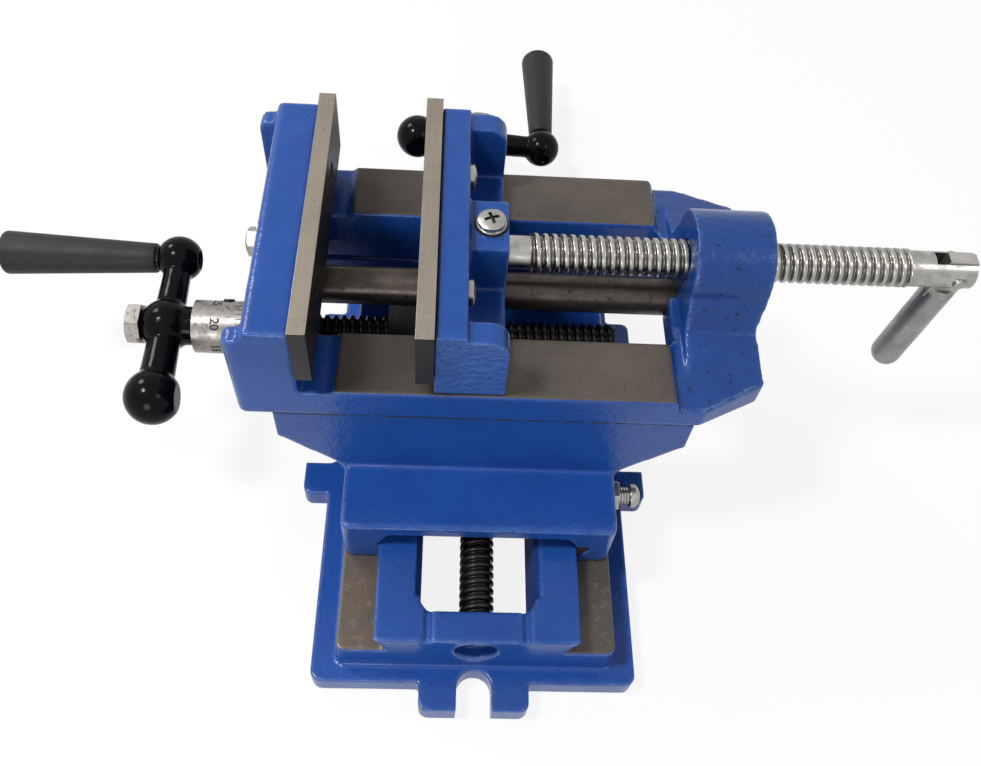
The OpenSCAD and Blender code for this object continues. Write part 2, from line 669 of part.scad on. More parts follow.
// fixed jaw, rails, screw tower and hanging dovetail in one casting
module vise_body() {
    bed_l = bed_x1 - block_x1 - 2;
    color("royalblue") on_saddle() difference() {
        union() {
            intersection() {
                translate([0, 0, vise_z]) linear_extrude(bed_z - vise_z) vise_plan();
                translate([vise_x0 - 1, -rail_w, vise_z]) cube([tower_x - vise_x0 - 3, 2 * rail_w, 60]);
            }
            both_y() translate([way_x0, channel_w / 2, vise_z])
                cube([way_x1 - way_x0, (rail_w - channel_w) / 2, jaw_way_z - vise_z]);
            // fixed jaw block and the fins behind it
            along_y(rail_w) soft_corner(block_x0, vise_z, block_x1, block_top_z, 0.8 * cast_r);
            intersection() {
                linear_extrude(2 * plate_z) vise_plan();
                both_y() translate([0, (rail_w - fin_w) / 2, 0]) along_y(fin_w)
                    soft_corner(vise_x0, vise_z, block_x0 + 1, fin_z, cast_r);
            }
            // screw tower, thicker round the screw
            intersection() {
                union() {
                    linear_extrude(2 * plate_z) vise_plan();
                    along_y(2 * hump_r + 10) polygon([[tower_x, 0], [vise_x1, 0],
                        [vise_x1, jaw_way_z + foot_rise], [vise_x1 + hump_out, vise_screw_z],
                        [vise_x1 + hump_out, 2 * plate_z], [tower_x, 2 * plate_z]]);
                }
                along_x(tower_x - 4, vise_x1 + hump_out) {
                    tower_half();
                    mirror([1, 0]) tower_half();
                }
                union() {
                    translate([tower_x, -rail_w, 0]) cube([100, 2 * rail_w, 200]);
                    translate([tower_x - 4, -rail_w, 0]) cube([100, 2 * rail_w, jaw_way_z - 2]);
                }
            }
            translate([0, 0, vise_screw_z]) rod_x(2 * hump_r, tower_x, vise_x1 + hump_out);
            // hanging dovetail bars
            both_y() along_x(vise_x0 + 10, bed_x1 + 2) polygon([[channel_w / 2, vise_z + 1],
                [neck_y, vise_z + 1], [neck_y, saddle_z], [toe_y - toe_run, table_dove_z + slide_gap],
                [channel_w / 2, table_dove_z + slide_gap]]);
            // bearing bracket of the table screw
            translate([0, 0, table_screw_z]) rod_x(boss_d, table_face_x, table_bush_x1);
            translate([block_x0, -boss_d / 2, table_screw_z])
                cube([table_bush_x1 - block_x0, boss_d, vise_z - table_screw_z + 2]);
            translate([block_x0, -channel_w / 2, table_dove_z + slide_gap])
                cube([table_bush_x1 - block_x0, channel_w, dove_h + 2]);
        }
        // back pocket between the fins
        translate([vise_x0 - 1, -rail_w / 2 + fin_w, vise_z - 1])
            cube([pocket_d + 1, rail_w - 2 * fin_w, 80]);
        // open bed between the rails
        translate([(bed_x1 + block_x1 + 2) / 2, 0, table_dove_z - 1]) linear_extrude(jaw_way_z)
            intersection() {
                round_plan(bed_l, channel_w, 4);
                square([bed_l, channel_w], center = true);
            }
        translate([0, 0, rod_z]) rod_x(rod_d + 2 * run_fit, block_x0 - 1, tower_x + 14);
        translate([0, 0, vise_screw_z]) rod_x(vise_screw_d + 2 * run_fit, tower_x - 9, vise_x1 + 9);
        translate([0, 0, table_screw_z]) rod_x(bush_d + 2 * run_fit, table_face_x - 1, table_bush_x1 + 1);
        for (y = [-1, 1]) translate([0, y * jaw_bolt_y, jaw_bolt_z]) {
            rod_x(jaw_bolt_d + 2 * run_fit, block_x0 - 1, block_x1 + 1);
            rod_x(head_d + 2 * slide_gap, block_x0 - 1, block_x0 + head_sink);
        }
        translate([0, 0, vise_screw_z]) rod_x(tie_d + 2 * run_fit, block_x0 - 1, block_x1 - 1);
    }
}

module table_bush() {
    color("peru") translate([table_bush_x1, saddle_y, table_screw_z]) rotate([0, -90, 0])
        bush(table_bush_x1 - table_face_x);
}

module table_screw() {
    color("dimgray") at_table()
        feed_shape(table_bush_x1 - table_face_x + end_play, table_thread_l, 1);
}

module table_dial() { color("silver") at_table() dial_shape(); }
module table_dial_screw() { color("black") at_table() dial_screw_shape(); }
module table_crank() { color("black") at_table() crank_shape(); }
module table_crank_bolt() { color("silver") at_table() crank_bolt_shape(); }
module table_grip_pin() { color("gray") at_table() grip_pin_shape(); }
module table_grip() { color("dimgray") at_table() grip_shape(); }

// rod that keeps the moving jaw down, between the fixed jaw and the tower
module guide_rod() {
    color("gray") on_saddle() translate([0, 0, rod_z]) rod_x(rod_d, block_x0, tower_x + 14);
}

// hex bolt along +X under its head
module hex_bolt_x(d, l, flats, head_h) {
    rod_x(d, -0.5, l);
    translate([-head_h, 0, 0]) rotate([0, 90, 0]) intersection() {
        hex(flats, head_h);
        translate([0, 0, 1.1 * flats - 0.2]) sphere(r = 1.1 * flats);
    }
}

// bolt in the middle of the fixed jaw's back
module tie_bolt() {
    color("silver") on_saddle() translate([block_x0 - tie_washer_h, 0, vise_screw_z])
        hex_bolt_x(tie_d, block_x1 - block_x0 + tie_washer_h - 2, tie_flats, tie_head_h);
}

module tie_washer() {
    color("silver") on_saddle() translate([0, 0, vise_screw_z]) difference() {
        rod_x(tie_washer_d, block_x0 - tie_washer_h, block_x0);
        rod_x(tie_d + 2 * run_fit, block_x0 - 3, block_x0 + 3);
    }
}

// ground jaw plate with its working face at the given place
module jaw_plate(face_x, back) {
    on_saddle() difference() {
        translate([min(face_x, back), -plate_l / 2, plate_z - plate_h])
            cube([plate_t, plate_l, plate_h]);
        for (y = [-1, 1]) translate([0, y * jaw_bolt_y, jaw_bolt_z])
            rod_x(jaw_bolt_d + 2 * run_fit, min(back, face_x) - 1, max(back, face_x) + 1);
    }
}

// low round head bolt along +X under its head
module round_bolt_x(l) {
    rod_x(jaw_bolt_d, -0.5, l);
    translate([-head_h, 0, 0]) intersection() {
        rod_x(head_d, 0, head_h);
        translate([1.2 * head_d, 0, 0]) sphere(r = 1.2 * head_d + 0.1);
    }
}

module fixed_jaw_plate() { color("gray") jaw_plate(fixed_face_x, block_x1); }
module moving_jaw_plate() { color("gray") jaw_plate(jaw_face_x, jaw_x); }

// their heads are sunk in the back of the fixed jaw
module fixed_jaw_bolts() {
    color("silver") on_saddle() for (y = [-1, 1])
        translate([block_x0 + head_sink, y * jaw_bolt_y, jaw_bolt_z])
            round_bolt_x(block_x1 - block_x0 - head_sink + plate_t - 3.5);
}

module moving_jaw_bolts() {
    color("silver") on_saddle() for (y = [-1, 1])
        translate([jaw_x + jaw_back, y * jaw_bolt_y, jaw_bolt_z]) mirror([1, 0, 0])
            round_bolt_x(jaw_back + plate_t - 1.5);
}

// moving jaw: back, foot, two ears, centre block and the lug round the guide rod
module moving_jaw() {
    jaw_top = plate_z - 2;
    color("royalblue") on_saddle() difference() {
        union() {
            translate([jaw_x, -rail_w / 2 + 0.5, foot_z]) cube([jaw_back, rail_w - 1, jaw_top - foot_z]);
            translate([jaw_x, -rail_w / 2 + 0.5, foot_z]) cube([jaw_foot, rail_w - 1, 6]);
            both_y() translate([jaw_x1, rail_w / 2 - 0.5, 0]) along_y(16) mirror([1, 0])
                soft_corner(0, foot_z, jaw_foot - 1, jaw_top - 2, 2 * cast_r);
            translate([jaw_x, -10.5, foot_z]) cube([jaw_foot + 0.2, 21, keeper_seat_z - foot_z]);
            translate([jaw_x + 2, -rod_d / 2 - lug_wall, rod_z])
                cube([jaw_foot - 2, rod_d + 2 * lug_wall, foot_z - rod_z + 1]);
            translate([0, 0, rod_z]) rod_x(rod_d + 2 * lug_wall, jaw_x + 2, jaw_x1);
        }
        both_y() translate([jaw_x - 5, rail_w / 2 - 0.5, foot_z - 1]) cube([jaw_foot + 10, 20, 60]);
        translate([0, 0, rod_z]) rod_x(rod_d + 2 * run_fit, jaw_x - 9, jaw_x1 + 9);
        translate([0, 0, vise_screw_z]) rod_x(neck_d + 2 * run_fit, nose_x - slide_gap, jaw_x1 + 9);
        translate([keeper_x, 0, vise_screw_z]) cylinder(d = keeper_d + 2 * run_fit, h = 40);
        for (y = [-1, 1]) translate([0, y * jaw_bolt_y, jaw_bolt_z])
            rod_x(jaw_bolt_d + 2 * run_fit, jaw_x - 1, jaw_x + jaw_back + 1);
    }
}

// pan head screw whose tip runs in the vise screw's groove
module keeper_screw() {
    color("silver") on_saddle() translate([keeper_x, 0, 0]) difference() {
        union() {
            translate([0, 0, vise_screw_z + neck_d / 2 - 1.6])
                cylinder(d = keeper_d, h = keeper_seat_z + 1.6 - vise_screw_z - neck_d / 2 + 1.6);
            translate([0, 0, keeper_seat_z + keeper_washer_h]) intersection() {
                cylinder(d = 1.8 * keeper_d, h = head_h);
                translate([0, 0, head_h - 2.2 * keeper_d]) sphere(r = 2.2 * keeper_d);
            }
        }
        for (a = [0, 90]) rotate(a + 20) translate([-2.4, -0.55, keeper_seat_z + keeper_washer_h + 0.9])
            cube([4.8, 1.1, 4]);
    }
}

module keeper_washer() {
    color("silver") on_saddle() translate([keeper_x, 0, keeper_seat_z]) difference() {
        cylinder(d = keeper_washer_d, h = keeper_washer_h);
        translate([0, 0, -1]) cylinder(d = keeper_d + 2 * run_fit, h = 4);
    }
}

// vise screw: grooved nose and neck in the jaw, thread through the tower, slotted tail
module vise_screw() {
    groove_w = keeper_d + 2 * slide_gap;
    color("silver") on_saddle() translate([0, 0, vise_screw_z]) difference() {
        union() {
            rod_x(neck_d, nose_x, jaw_x1 + 7.8);
            rod_x(vise_screw_d, jaw_x1 + 7.7, tail_x0);
            rod_x(tail_d, tail_x0 - 1, tail_x1);
        }
        difference() {
            rod_x(neck_d + 2, keeper_x - groove_w / 2, keeper_x + groove_w / 2);
            rod_x(neck_d - 3.8, keeper_x - groove_w, keeper_x + groove_w);
        }
        translate([pin_x - slot_run, -tongue_t / 2 - slide_gap, -tail_d])
            cube([30, tongue_t + 2 * slide_gap, 2 * tail_d]);
        translate([pin_x, 0, 0]) rod_y(pin_d + 2 * run_fit, -tail_d, tail_d);
    }
}

module handle_pin() {
    color("silver") on_saddle() translate([pin_x, 0, vise_screw_z]) {
        rod_y(pin_d, -tail_d / 2 - 0.9, tail_d / 2 + 0.9);
    }
}

// round handle with a flat tongue that folds about the pin
module folding_handle() {
    color("silver") on_saddle() translate([pin_x, 0, vise_screw_z]) rotate([0, handle_lean, 0])
        difference() {
            union() {
                translate([-tail_d / 2 + 1, -tongue_t / 2, -tail_d])
                    cube([tail_d - 2, tongue_t, tail_d + tongue_top]);
                translate([0, 0, -handle_l + handle_d / 2])
                    cylinder(d = handle_d, h = handle_l - handle_d / 2 - tail_d / 2 - 3.5);
                translate([0, 0, -handle_l + handle_d / 2]) sphere(d = handle_d);
                translate([0, 0, -tail_d / 2 - 3.6]) cylinder(d1 = handle_d, d2 = handle_d - 3, h = 1.5);
            }
            rod_y(pin_d + 2 * run_fit, -tail_d, tail_d);
        }
}

base();
cross_bush();
cross_screw();
cross_dial();
cross_dial_screw();
cross_crank();
cross_crank_bolt();
cross_grip_pin();
cross_grip();
saddle();
cross_nut();
cross_nut_bolts();
cross_gib();
cross_gib_screws();
cross_gib_nuts();
table_nut();
table_nut_bolts();
table_gib();
table_gib_screws();
table_gib_nuts();
vise_body();
table_bush();
table_screw();
table_dial();
table_dial_screw();
table_crank();
table_crank_bolt();
table_grip_pin();
table_grip();
guide_rod();
tie_bolt();
tie_washer();
fixed_jaw_plate();
fixed_jaw_bolts();
moving_jaw();
moving_jaw_plate();
moving_jaw_bolts();
keeper_screw();
keeper_washer();
vise_screw();
handle_pin();
folding_handle();
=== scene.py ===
import bpy
import bmesh
import math
from mathutils import Matrix, Vector


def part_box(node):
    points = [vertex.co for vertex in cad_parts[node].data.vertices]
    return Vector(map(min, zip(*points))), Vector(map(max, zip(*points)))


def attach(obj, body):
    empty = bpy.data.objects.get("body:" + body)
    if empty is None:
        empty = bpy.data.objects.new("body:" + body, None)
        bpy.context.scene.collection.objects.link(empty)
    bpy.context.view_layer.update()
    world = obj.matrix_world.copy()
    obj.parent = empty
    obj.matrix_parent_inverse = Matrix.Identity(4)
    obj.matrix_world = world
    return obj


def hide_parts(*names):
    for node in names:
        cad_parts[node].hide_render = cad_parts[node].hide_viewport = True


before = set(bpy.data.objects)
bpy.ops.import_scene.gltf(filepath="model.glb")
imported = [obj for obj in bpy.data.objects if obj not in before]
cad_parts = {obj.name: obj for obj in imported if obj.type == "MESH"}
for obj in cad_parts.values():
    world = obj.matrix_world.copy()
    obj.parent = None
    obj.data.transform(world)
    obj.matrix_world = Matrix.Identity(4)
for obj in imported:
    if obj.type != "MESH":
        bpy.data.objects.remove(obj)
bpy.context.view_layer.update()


# Base. One iron casting: a flange with U slots, a raised pad and a male dovetail round an open window.
# It is sand cast and painted blue, and bare where the two ways and the underside are milled.
def plain(piece):
    """The piece's modifiers become its mesh."""
    bpy.context.view_layer.update()
    seen = piece.evaluated_get(bpy.context.evaluated_depsgraph_get())
    mesh = bpy.data.meshes.new_from_object(seen)
    piece.modifiers.clear()
    piece.data = mesh
    return piece


def merged(solid, name):
    """A copy of a CAD node with its loose triangles joined."""
    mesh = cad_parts[solid].data.copy()
    mesh.materials.clear()
    bm = bmesh.new()
    bm.from_mesh(mesh)
    bmesh.ops.remove_doubles(bm, verts=bm.verts, dist=2e-6)
    bm.to_mesh(mesh)
    bm.free()
    piece = bpy.data.objects.new(name, mesh)
    bpy.context.scene.collection.objects.link(piece)
    return piece


def as_cast(solid, name, grid, passes, share):
    """A copy whose edges are rounded as sand casting, grinding and paint leave them."""
    piece = merged(solid, name)
    skin = piece.modifiers.new("skin", "REMESH")
    skin.mode = "VOXEL"
    skin.voxel_size = grid
    skin.use_smooth_shade = True
    soft = piece.modifiers.new("soft", "SMOOTH")
    soft.factor = 0.5
    soft.iterations = passes
    thin = piece.modifiers.new("thin", "DECIMATE")
    thin.ratio = share
    flat = piece.modifiers.new("flat", "WEIGHTED_NORMAL")
    flat.weight = 80
    plain(piece)
    # how far each point stands out of its neighbours, for the wear and painted highlight on outer edges
    mesh = piece.data
    edge_gain = 4.0
    bend = [0.0] * len(mesh.vertices)
    ways = [0] * len(mesh.vertices)
    for edge in mesh.edges:
        a, b = (mesh.vertices[i] for i in edge.vertices)
        along = (b.co - a.co).normalized()
        bend[a.index] -= a.normal.dot(along)
        bend[b.index] += b.normal.dot(along)
        ways[a.index] += 1
        ways[b.index] += 1
    worn_and_lit_edge = mesh.attributes.new("edge", "FLOAT", "POINT")
    worn_and_lit_edge.data.foreach_set("value", [
        min(1.0, max(0.0, edge_gain * b / max(n, 1))) for b, n in zip(bend, ways)])
    return piece


def feed(tree, socket, value):
    """Give a socket a constant, or a link from another node's socket."""
    if isinstance(value, bpy.types.NodeSocket):
        tree.links.new(value, socket)
    else:
        socket.default_value = value


def node(tree, kind, **values):
    """One node of a tree with its properties and inputs; an underscore stands for a socket's space."""
    made = tree.nodes.new(kind)
    for key, value in values.items():
        if key in made.bl_rna.properties:
            setattr(made, key, value)
        else:
            feed(tree, made.inputs[key.replace("_", " ")], value)
    return made


def calc(tree, how, *values):
    """The result of one Math node."""
    made = node(tree, "ShaderNodeMath", operation=how)
    for socket, value in zip(made.inputs, values):
        feed(tree, socket, value)
    return made.outputs[0]


def ramp(tree, value, low, high, **values):
    """A value spread from 0 to 1 between two others, or as the further values say."""
    return node(tree, "ShaderNodeMapRange", Value=value, From_Min=low, From_Max=high, **values).outputs[0]


def own_place(tree):
    """The place on the piece, in its own coordinates."""
    return node(tree, "ShaderNodeTexCoord").outputs["Object"]


def noise(tree, size, **values):
    """Noise over the piece."""
    return node(tree, "ShaderNodeTexNoise", Vector=own_place(tree), Scale=size, **values).outputs[0]


def layered(tree, mask, under, over, how="MIX"):
    """One colour laid over another by a mask."""
    made = node(tree, "ShaderNodeMix", data_type="RGBA", blend_type=how)
    sockets = {socket.identifier: socket for socket in (*made.inputs, *made.outputs)}
    for key, value in (("Factor_Float", mask), ("A_Color", under), ("B_Color", over)):
        feed(tree, sockets[key], value)
    return sockets["Result_Color"]


def effect(name, inputs, outputs):
    """An empty shader group with named sockets; a colour or vector is given by its length."""
    group = bpy.data.node_groups.new(name, "ShaderNodeTree")
    for sockets, way in ((inputs, "INPUT"), (outputs, "OUTPUT")):
        for key, value in sockets.items():
            kind = {4: "NodeSocketColor", 3: "NodeSocketVector"}.get(
                len(value) if isinstance(value, tuple) else 0, "NodeSocketFloat")
            group.interface.new_socket(key, in_out=way, socket_type=kind).default_value = value
    ends = group.nodes.new("NodeGroupInput"), group.nodes.new("NodeGroupOutput")
    return group, ends[0].outputs, ends[1].inputs


# grain of the sand mould and the paint over it
cast_grain, given, result = effect("cast_grain", {"Size": 900.0, "Lumps": 0.6}, {"Height": 0.0})
fine = noise(cast_grain, given["Size"], Detail=2.0)
broad = noise(cast_grain, calc(cast_grain, "MULTIPLY", given["Size"], 0.22), Detail=1.0)
feed(cast_grain, result["Height"], calc(cast_grain, "MULTIPLY_ADD", broad, given["Lumps"], fine))

# blotches of thin paint, oil or dull plating
blotches, given, result = effect(
    "blotches",
    {"Size": 60.0, "Spread": 0.2, "Clean": (1.0, 1.0, 1.0, 1.0), "Stained": (0.5, 0.5, 0.5, 1.0)},
    {"Color": (0.0, 0.0, 0.0, 1.0), "Mask": 0.0})
cloud = noise(blotches, given["Size"], Detail=6.0, Roughness=0.62)
mask = ramp(blotches, cloud, calc(blotches, "SUBTRACT", 0.5, given["Spread"]),
            calc(blotches, "ADD", 0.5, given["Spread"]))
feed(blotches, result["Color"], layered(blotches, mask, given["Clean"], given["Stained"]))
feed(blotches, result["Mask"], mask)

# fine parallel scratches of a cutter or a grinding wheel
cutter_lines, given, result = effect("cutter_lines", {"Across": (60.0, 2500.0, 2500.0)}, {"Mark": 0.0})
stretch = node(cutter_lines, "ShaderNodeMapping", Vector=own_place(cutter_lines), Scale=given["Across"])
streak = node(cutter_lines, "ShaderNodeTexNoise", Vector=stretch.outputs[0], Scale=1.0, Detail=3.0,
              Roughness=0.65)
feed(cutter_lines, result["Mark"], streak.outputs[0])

# paint rubbed thin on outer edges, lighter also as a painted edge highlight, from the mesh's own edge
# attribute
edge_wear_and_highlight, given, result = effect("edge_wear_and_highlight", {"Size": 300.0, "Amount": 0.5}, {"Mask": 0.0})
patches = ramp(edge_wear_and_highlight, noise(edge_wear_and_highlight, given["Size"], Detail=4.0, Roughness=0.7), 0.35, 0.7)
edge = node(edge_wear_and_highlight, "ShaderNodeAttribute", attribute_name="edge").outputs["Fac"]
feed(edge_wear_and_highlight, result["Mask"],
     calc(edge_wear_and_highlight, "MULTIPLY", calc(edge_wear_and_highlight, "MULTIPLY", patches, edge), given["Amount"]))

# small specks of grit, rust, dirt or chipped paint
specks, given, result = effect("specks", {"Size": 600.0, "Start": 0.68, "Soft": 0.05}, {"Mask": 0.0})
grit = noise(specks, given["Size"], Detail=2.5)
feed(specks, result["Mask"],
     ramp(specks, grit, given["Start"], calc(specks, "ADD", given["Start"], given["Soft"])))

# a tint that fades out along X, with an uneven edge
fading, given, result = effect("fading", {"Start": 0.0, "End": 0.03}, {"Mask": 0.0})
along = node(fading, "ShaderNodeSeparateXYZ", Vector=own_place(fading)).outputs["X"]
uneven = calc(fading, "MULTIPLY_ADD", noise(fading, 40.0, Detail=5.0), 0.04, along)
feed(fading, result["Mask"], ramp(fading, uneven, given["Start"], given["End"],
                                  interpolation_type="SMOOTHSTEP", To_Min=0.85, To_Max=0.0))


def finish(name, clean, stained, size, rough, spread=0.2, metallic=0.0, gloss_level=0.5, lines=None,
           streaks=0.2, grain=None, depth=0.00002, worn_and_lit_edge=None, dirt=(), groove=None, zone=None):
    """A finish: blotched colour and gloss, with cutter lines or cast grain as its relief.
    The edge colour is that of rubbed edges and of a painted highlight on them, and groove that of the dirt
    in a thread. Each dirt has a colour, a size, a start and a soft edge. zone has a colour and the places
    along X between which it fades."""
    made = bpy.data.materials.new(name)
    made.use_nodes = True
    tree = made.node_tree

    def placed(group, **values):
        """An effect's outputs, with this finish's values."""
        return node(tree, "ShaderNodeGroup", node_tree=group, **values).outputs

    stain = placed(blotches, Size=size, Spread=spread, Clean=(*clean, 1.0), Stained=(*stained, 1.0))
    layers = []
    if worn_and_lit_edge:
        layers.append((placed(edge_wear_and_highlight, Size=260.0, Amount=0.9)["Mask"], worn_and_lit_edge))
    if zone:
        tint, start, end = zone
        layers.append((placed(fading, Start=start, End=end)["Mask"], tint))
    for tint, grit_size, start, soft in dirt:
        layers.append((placed(specks, Size=grit_size, Start=start, Soft=soft)["Mask"], tint))
    if groove:
        layers.append((node(tree, "ShaderNodeAttribute", attribute_name="groove").outputs["Fac"], groove))
    colour = stain["Color"]
    for mask, tint in layers:
        colour = layered(tree, mask, colour, (*tint, 1.0))
    if lines:
        relief = placed(cutter_lines, Across=lines)["Mark"]
        colour = layered(tree, streaks, colour, relief, "OVERLAY")
    else:
        grain_size, lumps = grain
        relief = placed(cast_grain, Size=grain_size, Lumps=lumps)["Height"]
    bump = node(tree, "ShaderNodeBump", Strength=1.0, Distance=depth, Height=relief)
    shader = tree.nodes["Principled BSDF"].inputs
    feed(tree, shader["Base Color"], colour)
    feed(tree, shader["Metallic"], metallic)
    feed(tree, shader["Roughness"], ramp(tree, stain["Mask"], 0.0, 1.0, To_Min=rough[0], To_Max=rough[1]))
    feed(tree, shader["Specular IOR Level"], gloss_level)
    feed(tree, shader["Normal"], bump.outputs[0])
    return made


# lighter blue on outer edges: rubbed paint, and partly a painted highlight
rubbed_and_highlit_blue = (0.12, 0.20, 0.44)
rust_pits = (0.034, 0.028, 0.023)
blue_paint = finish(
    "blue_paint", clean=(0.0125, 0.069, 0.302), stained=(0.0085, 0.050, 0.236), size=45.0, spread=0.25,
    rough=(0.17, 0.32), gloss_level=0.30, grain=(620.0, 1.2), depth=0.00013, worn_and_lit_edge=rubbed_and_highlit_blue,
    dirt=[((0.12, 0.19, 0.42), 1500.0, 0.74, 0.05), ((0.008, 0.018, 0.055), 700.0, 0.70, 0.06)])
rough_paint = finish(
    "rough_paint", clean=(0.014, 0.056, 0.240), stained=(0.009, 0.038, 0.170), size=60.0, spread=0.25,
    rough=(0.80, 0.95), gloss_level=0.1, grain=(430.0, 0.6), depth=0.0003)
# a near-black film: oil in the front bore and on the fixed plate's bolt ends, and painted shade along the
# saddle seam and round the keeper washer
oil_and_shade_film = finish(
    "oil_and_shade_film", clean=(0.010, 0.011, 0.016), stained=(0.018, 0.021, 0.034), size=300.0, spread=0.25,
    rough=(0.4, 0.6), gloss_level=0.2, grain=(900.0, 0.5), depth=0.00008)
milled_iron = finish(
    "milled_iron", clean=(0.0814, 0.0703, 0.0599), stained=(0.0508, 0.0443, 0.0391), size=30.0, spread=0.14,
    rough=(0.36, 0.55), metallic=0.4, lines=(500.0, 1800.0, 500.0), depth=0.00003,
    zone=((0.118, 0.078, 0.052), -0.047, -0.02),
    dirt=[((0.112, 0.066, 0.037), 55.0, 0.48, 0.26), ((0.150, 0.133, 0.116), 300.0, 0.57, 0.28),
          (rust_pits, 900.0, 0.66, 0.06)])


def paint_with(piece, main, *others):
    """The main finish all over, and others where their tests of a face's middle (mm) and normal say so."""
    piece.data.materials.clear()
    piece.data.materials.append(main)
    for look, test in others:
        piece.data.materials.append(look)
        for face in piece.data.polygons:
            if test(face.center * 1000, face.normal):
                face.material_index = len(piece.data.materials) - 1


base_way_z, way_inner_x, way_outer_x = 24.0, 29.5, 47.4
window_x, window_y = 24.0, 97.0
bore_z, bore_r, bore_oil_y0, bore_oil_y1 = 24.0, 8.5, -103.5, -97.5


def milled_on_base(at, up):
    """The tops of the two ways, and the underside."""
    on_way = abs(at.z - base_way_z) < 0.4 and way_inner_x < abs(at.x) < way_outer_x
    return (on_way and up.z > 0.8) or (at.z < 0.3 and up.z < -0.8)


def wall_of_window(at, up):
    """The window's walls, which are left as the sand made them."""
    return abs(up.z) < 0.75 and abs(at.x) < window_x and abs(at.y) < window_y


def oiled_in_base(at, up):
    """The inner half of the front bore, where the screw's end runs."""
    in_bore = math.hypot(at.x, at.z - bore_z) < bore_r and abs(up.y) < 0.6
    return in_bore and bore_oil_y0 < at.y < bore_oil_y1


base_casting = as_cast("base", "base_casting", grid=0.0007, passes=2, share=0.18)
paint_with(base_casting, blue_paint, (milled_iron, milled_on_base), (rough_paint, wall_of_window),
           (oil_and_shade_film, oiled_in_base))
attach(base_casting, "base")
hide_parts("base")


# Bush of the cross screw. A bronze sleeve, turned all over.
# It is pressed into the back end bar of the base, and the screw's journal runs in it.
def turned(solid, name, chamfer, look):
    """A copy of a machined CAD node with its edges broken."""
    piece = merged(solid, name)
    bm = bmesh.new()
    bm.from_mesh(piece.data)
    bmesh.ops.dissolve_limit(bm, angle_limit=math.radians(0.5), verts=bm.verts, edges=bm.edges)
    for face in bm.faces:
        face.smooth = True
    bm.to_mesh(piece.data)
    bm.free()
    edge = piece.modifiers.new("edge", "BEVEL")
    edge.width = chamfer
    edge.segments = 2
    edge.limit_method = "ANGLE"
    edge.angle_limit = math.radians(33)
    flat = piece.modifiers.new("flat", "WEIGHTED_NORMAL")
    flat.weight = 60
    plain(piece)
    piece.data.set_sharp_from_angle(angle=math.radians(42))
    paint_with(piece, look)
    return piece


bronze = finish("bronze", clean=(0.368, 0.248, 0.112), stained=(0.240, 0.152, 0.072), size=160.0,
                rough=(0.28, 0.42), metallic=1.0, lines=(900.0, 900.0, 900.0))
cross_sleeve = turned("cross_bush", "cross_sleeve", chamfer=0.0002, look=bronze)
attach(cross_sleeve, "base")
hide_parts("cross_bush")


# Cross screw. A steel bar with a right-hand thread of 3 mm pitch, blacked and oiled.
# Its plain journals turn in the two end bars, and its stub carries the dial and the crank.
def growth(name, inputs):
    """An empty geometry tree with named inputs, and their sockets."""
    tree = bpy.data.node_groups.new(name, "GeometryNodeTree")
    for key, kind in inputs.items():
        tree.interface.new_socket(key, in_out="INPUT", socket_type="NodeSocket" + kind)
    tree.interface.new_socket("Geometry", in_out="OUTPUT", socket_type="NodeSocketGeometry")
    return tree, tree.nodes.new("NodeGroupInput").outputs


def on_circle(tree, along, radius, angle):
    """The place at an angle round the X axis."""
    return node(tree, "ShaderNodeCombineXYZ", X=along,
                Y=calc(tree, "MULTIPLY", radius, calc(tree, "COSINE", angle)),
                Z=calc(tree, "MULTIPLY", radius, calc(tree, "SINE", angle))).outputs[0]


def flat_sheet(tree, length, steps, sides):
    """A grid one unit wide, and the places along and across it."""
    sheet = node(tree, "GeometryNodeMeshGrid", Size_X=length, Size_Y=1.0, Vertices_X=steps, Vertices_Y=sides)
    spot = node(tree, "ShaderNodeSeparateXYZ", Vector=node(tree, "GeometryNodeInputPosition").outputs[0])
    return sheet.outputs["Mesh"], spot.outputs["X"], spot.outputs["Y"]


def zigzag(tree, value):
    """A wave that falls from 1 to 0 and rises again over each whole step of a value."""
    middle = calc(tree, "SUBTRACT", calc(tree, "FRACT", value), 0.5)
    return calc(tree, "MULTIPLY", calc(tree, "ABSOLUTE", middle), 2.0)


def coated(tree, given, shape):
    """The end of a geometry tree: real faces with the given finish."""
    real = node(tree, "GeometryNodeRealizeInstances", Geometry=shape)
    coat = node(tree, "GeometryNodeSetMaterial", Geometry=real.outputs[0], Material=given["Finish"])
    tree.links.new(coat.outputs[0], tree.nodes.new("NodeGroupOutput").inputs[0])


def rolled(tree, given, sheet, along, around, radius, groove):
    """The sheet rolled up round X, with the depth of its grooves kept for the finish."""
    marked = node(tree, "GeometryNodeStoreNamedAttribute", data_type="FLOAT", domain="POINT",
                  Geometry=sheet, Name="groove", Value=groove)
    wrap = on_circle(tree, along, radius, calc(tree, "MULTIPLY", around, 2 * math.pi))
    tube = node(tree, "GeometryNodeSetPosition", Geometry=marked.outputs[0], Position=wrap)
    seam = node(tree, "GeometryNodeMergeByDistance", Geometry=tube.outputs[0], Distance=1e-6)
    coated(tree, given, seam.outputs[0])


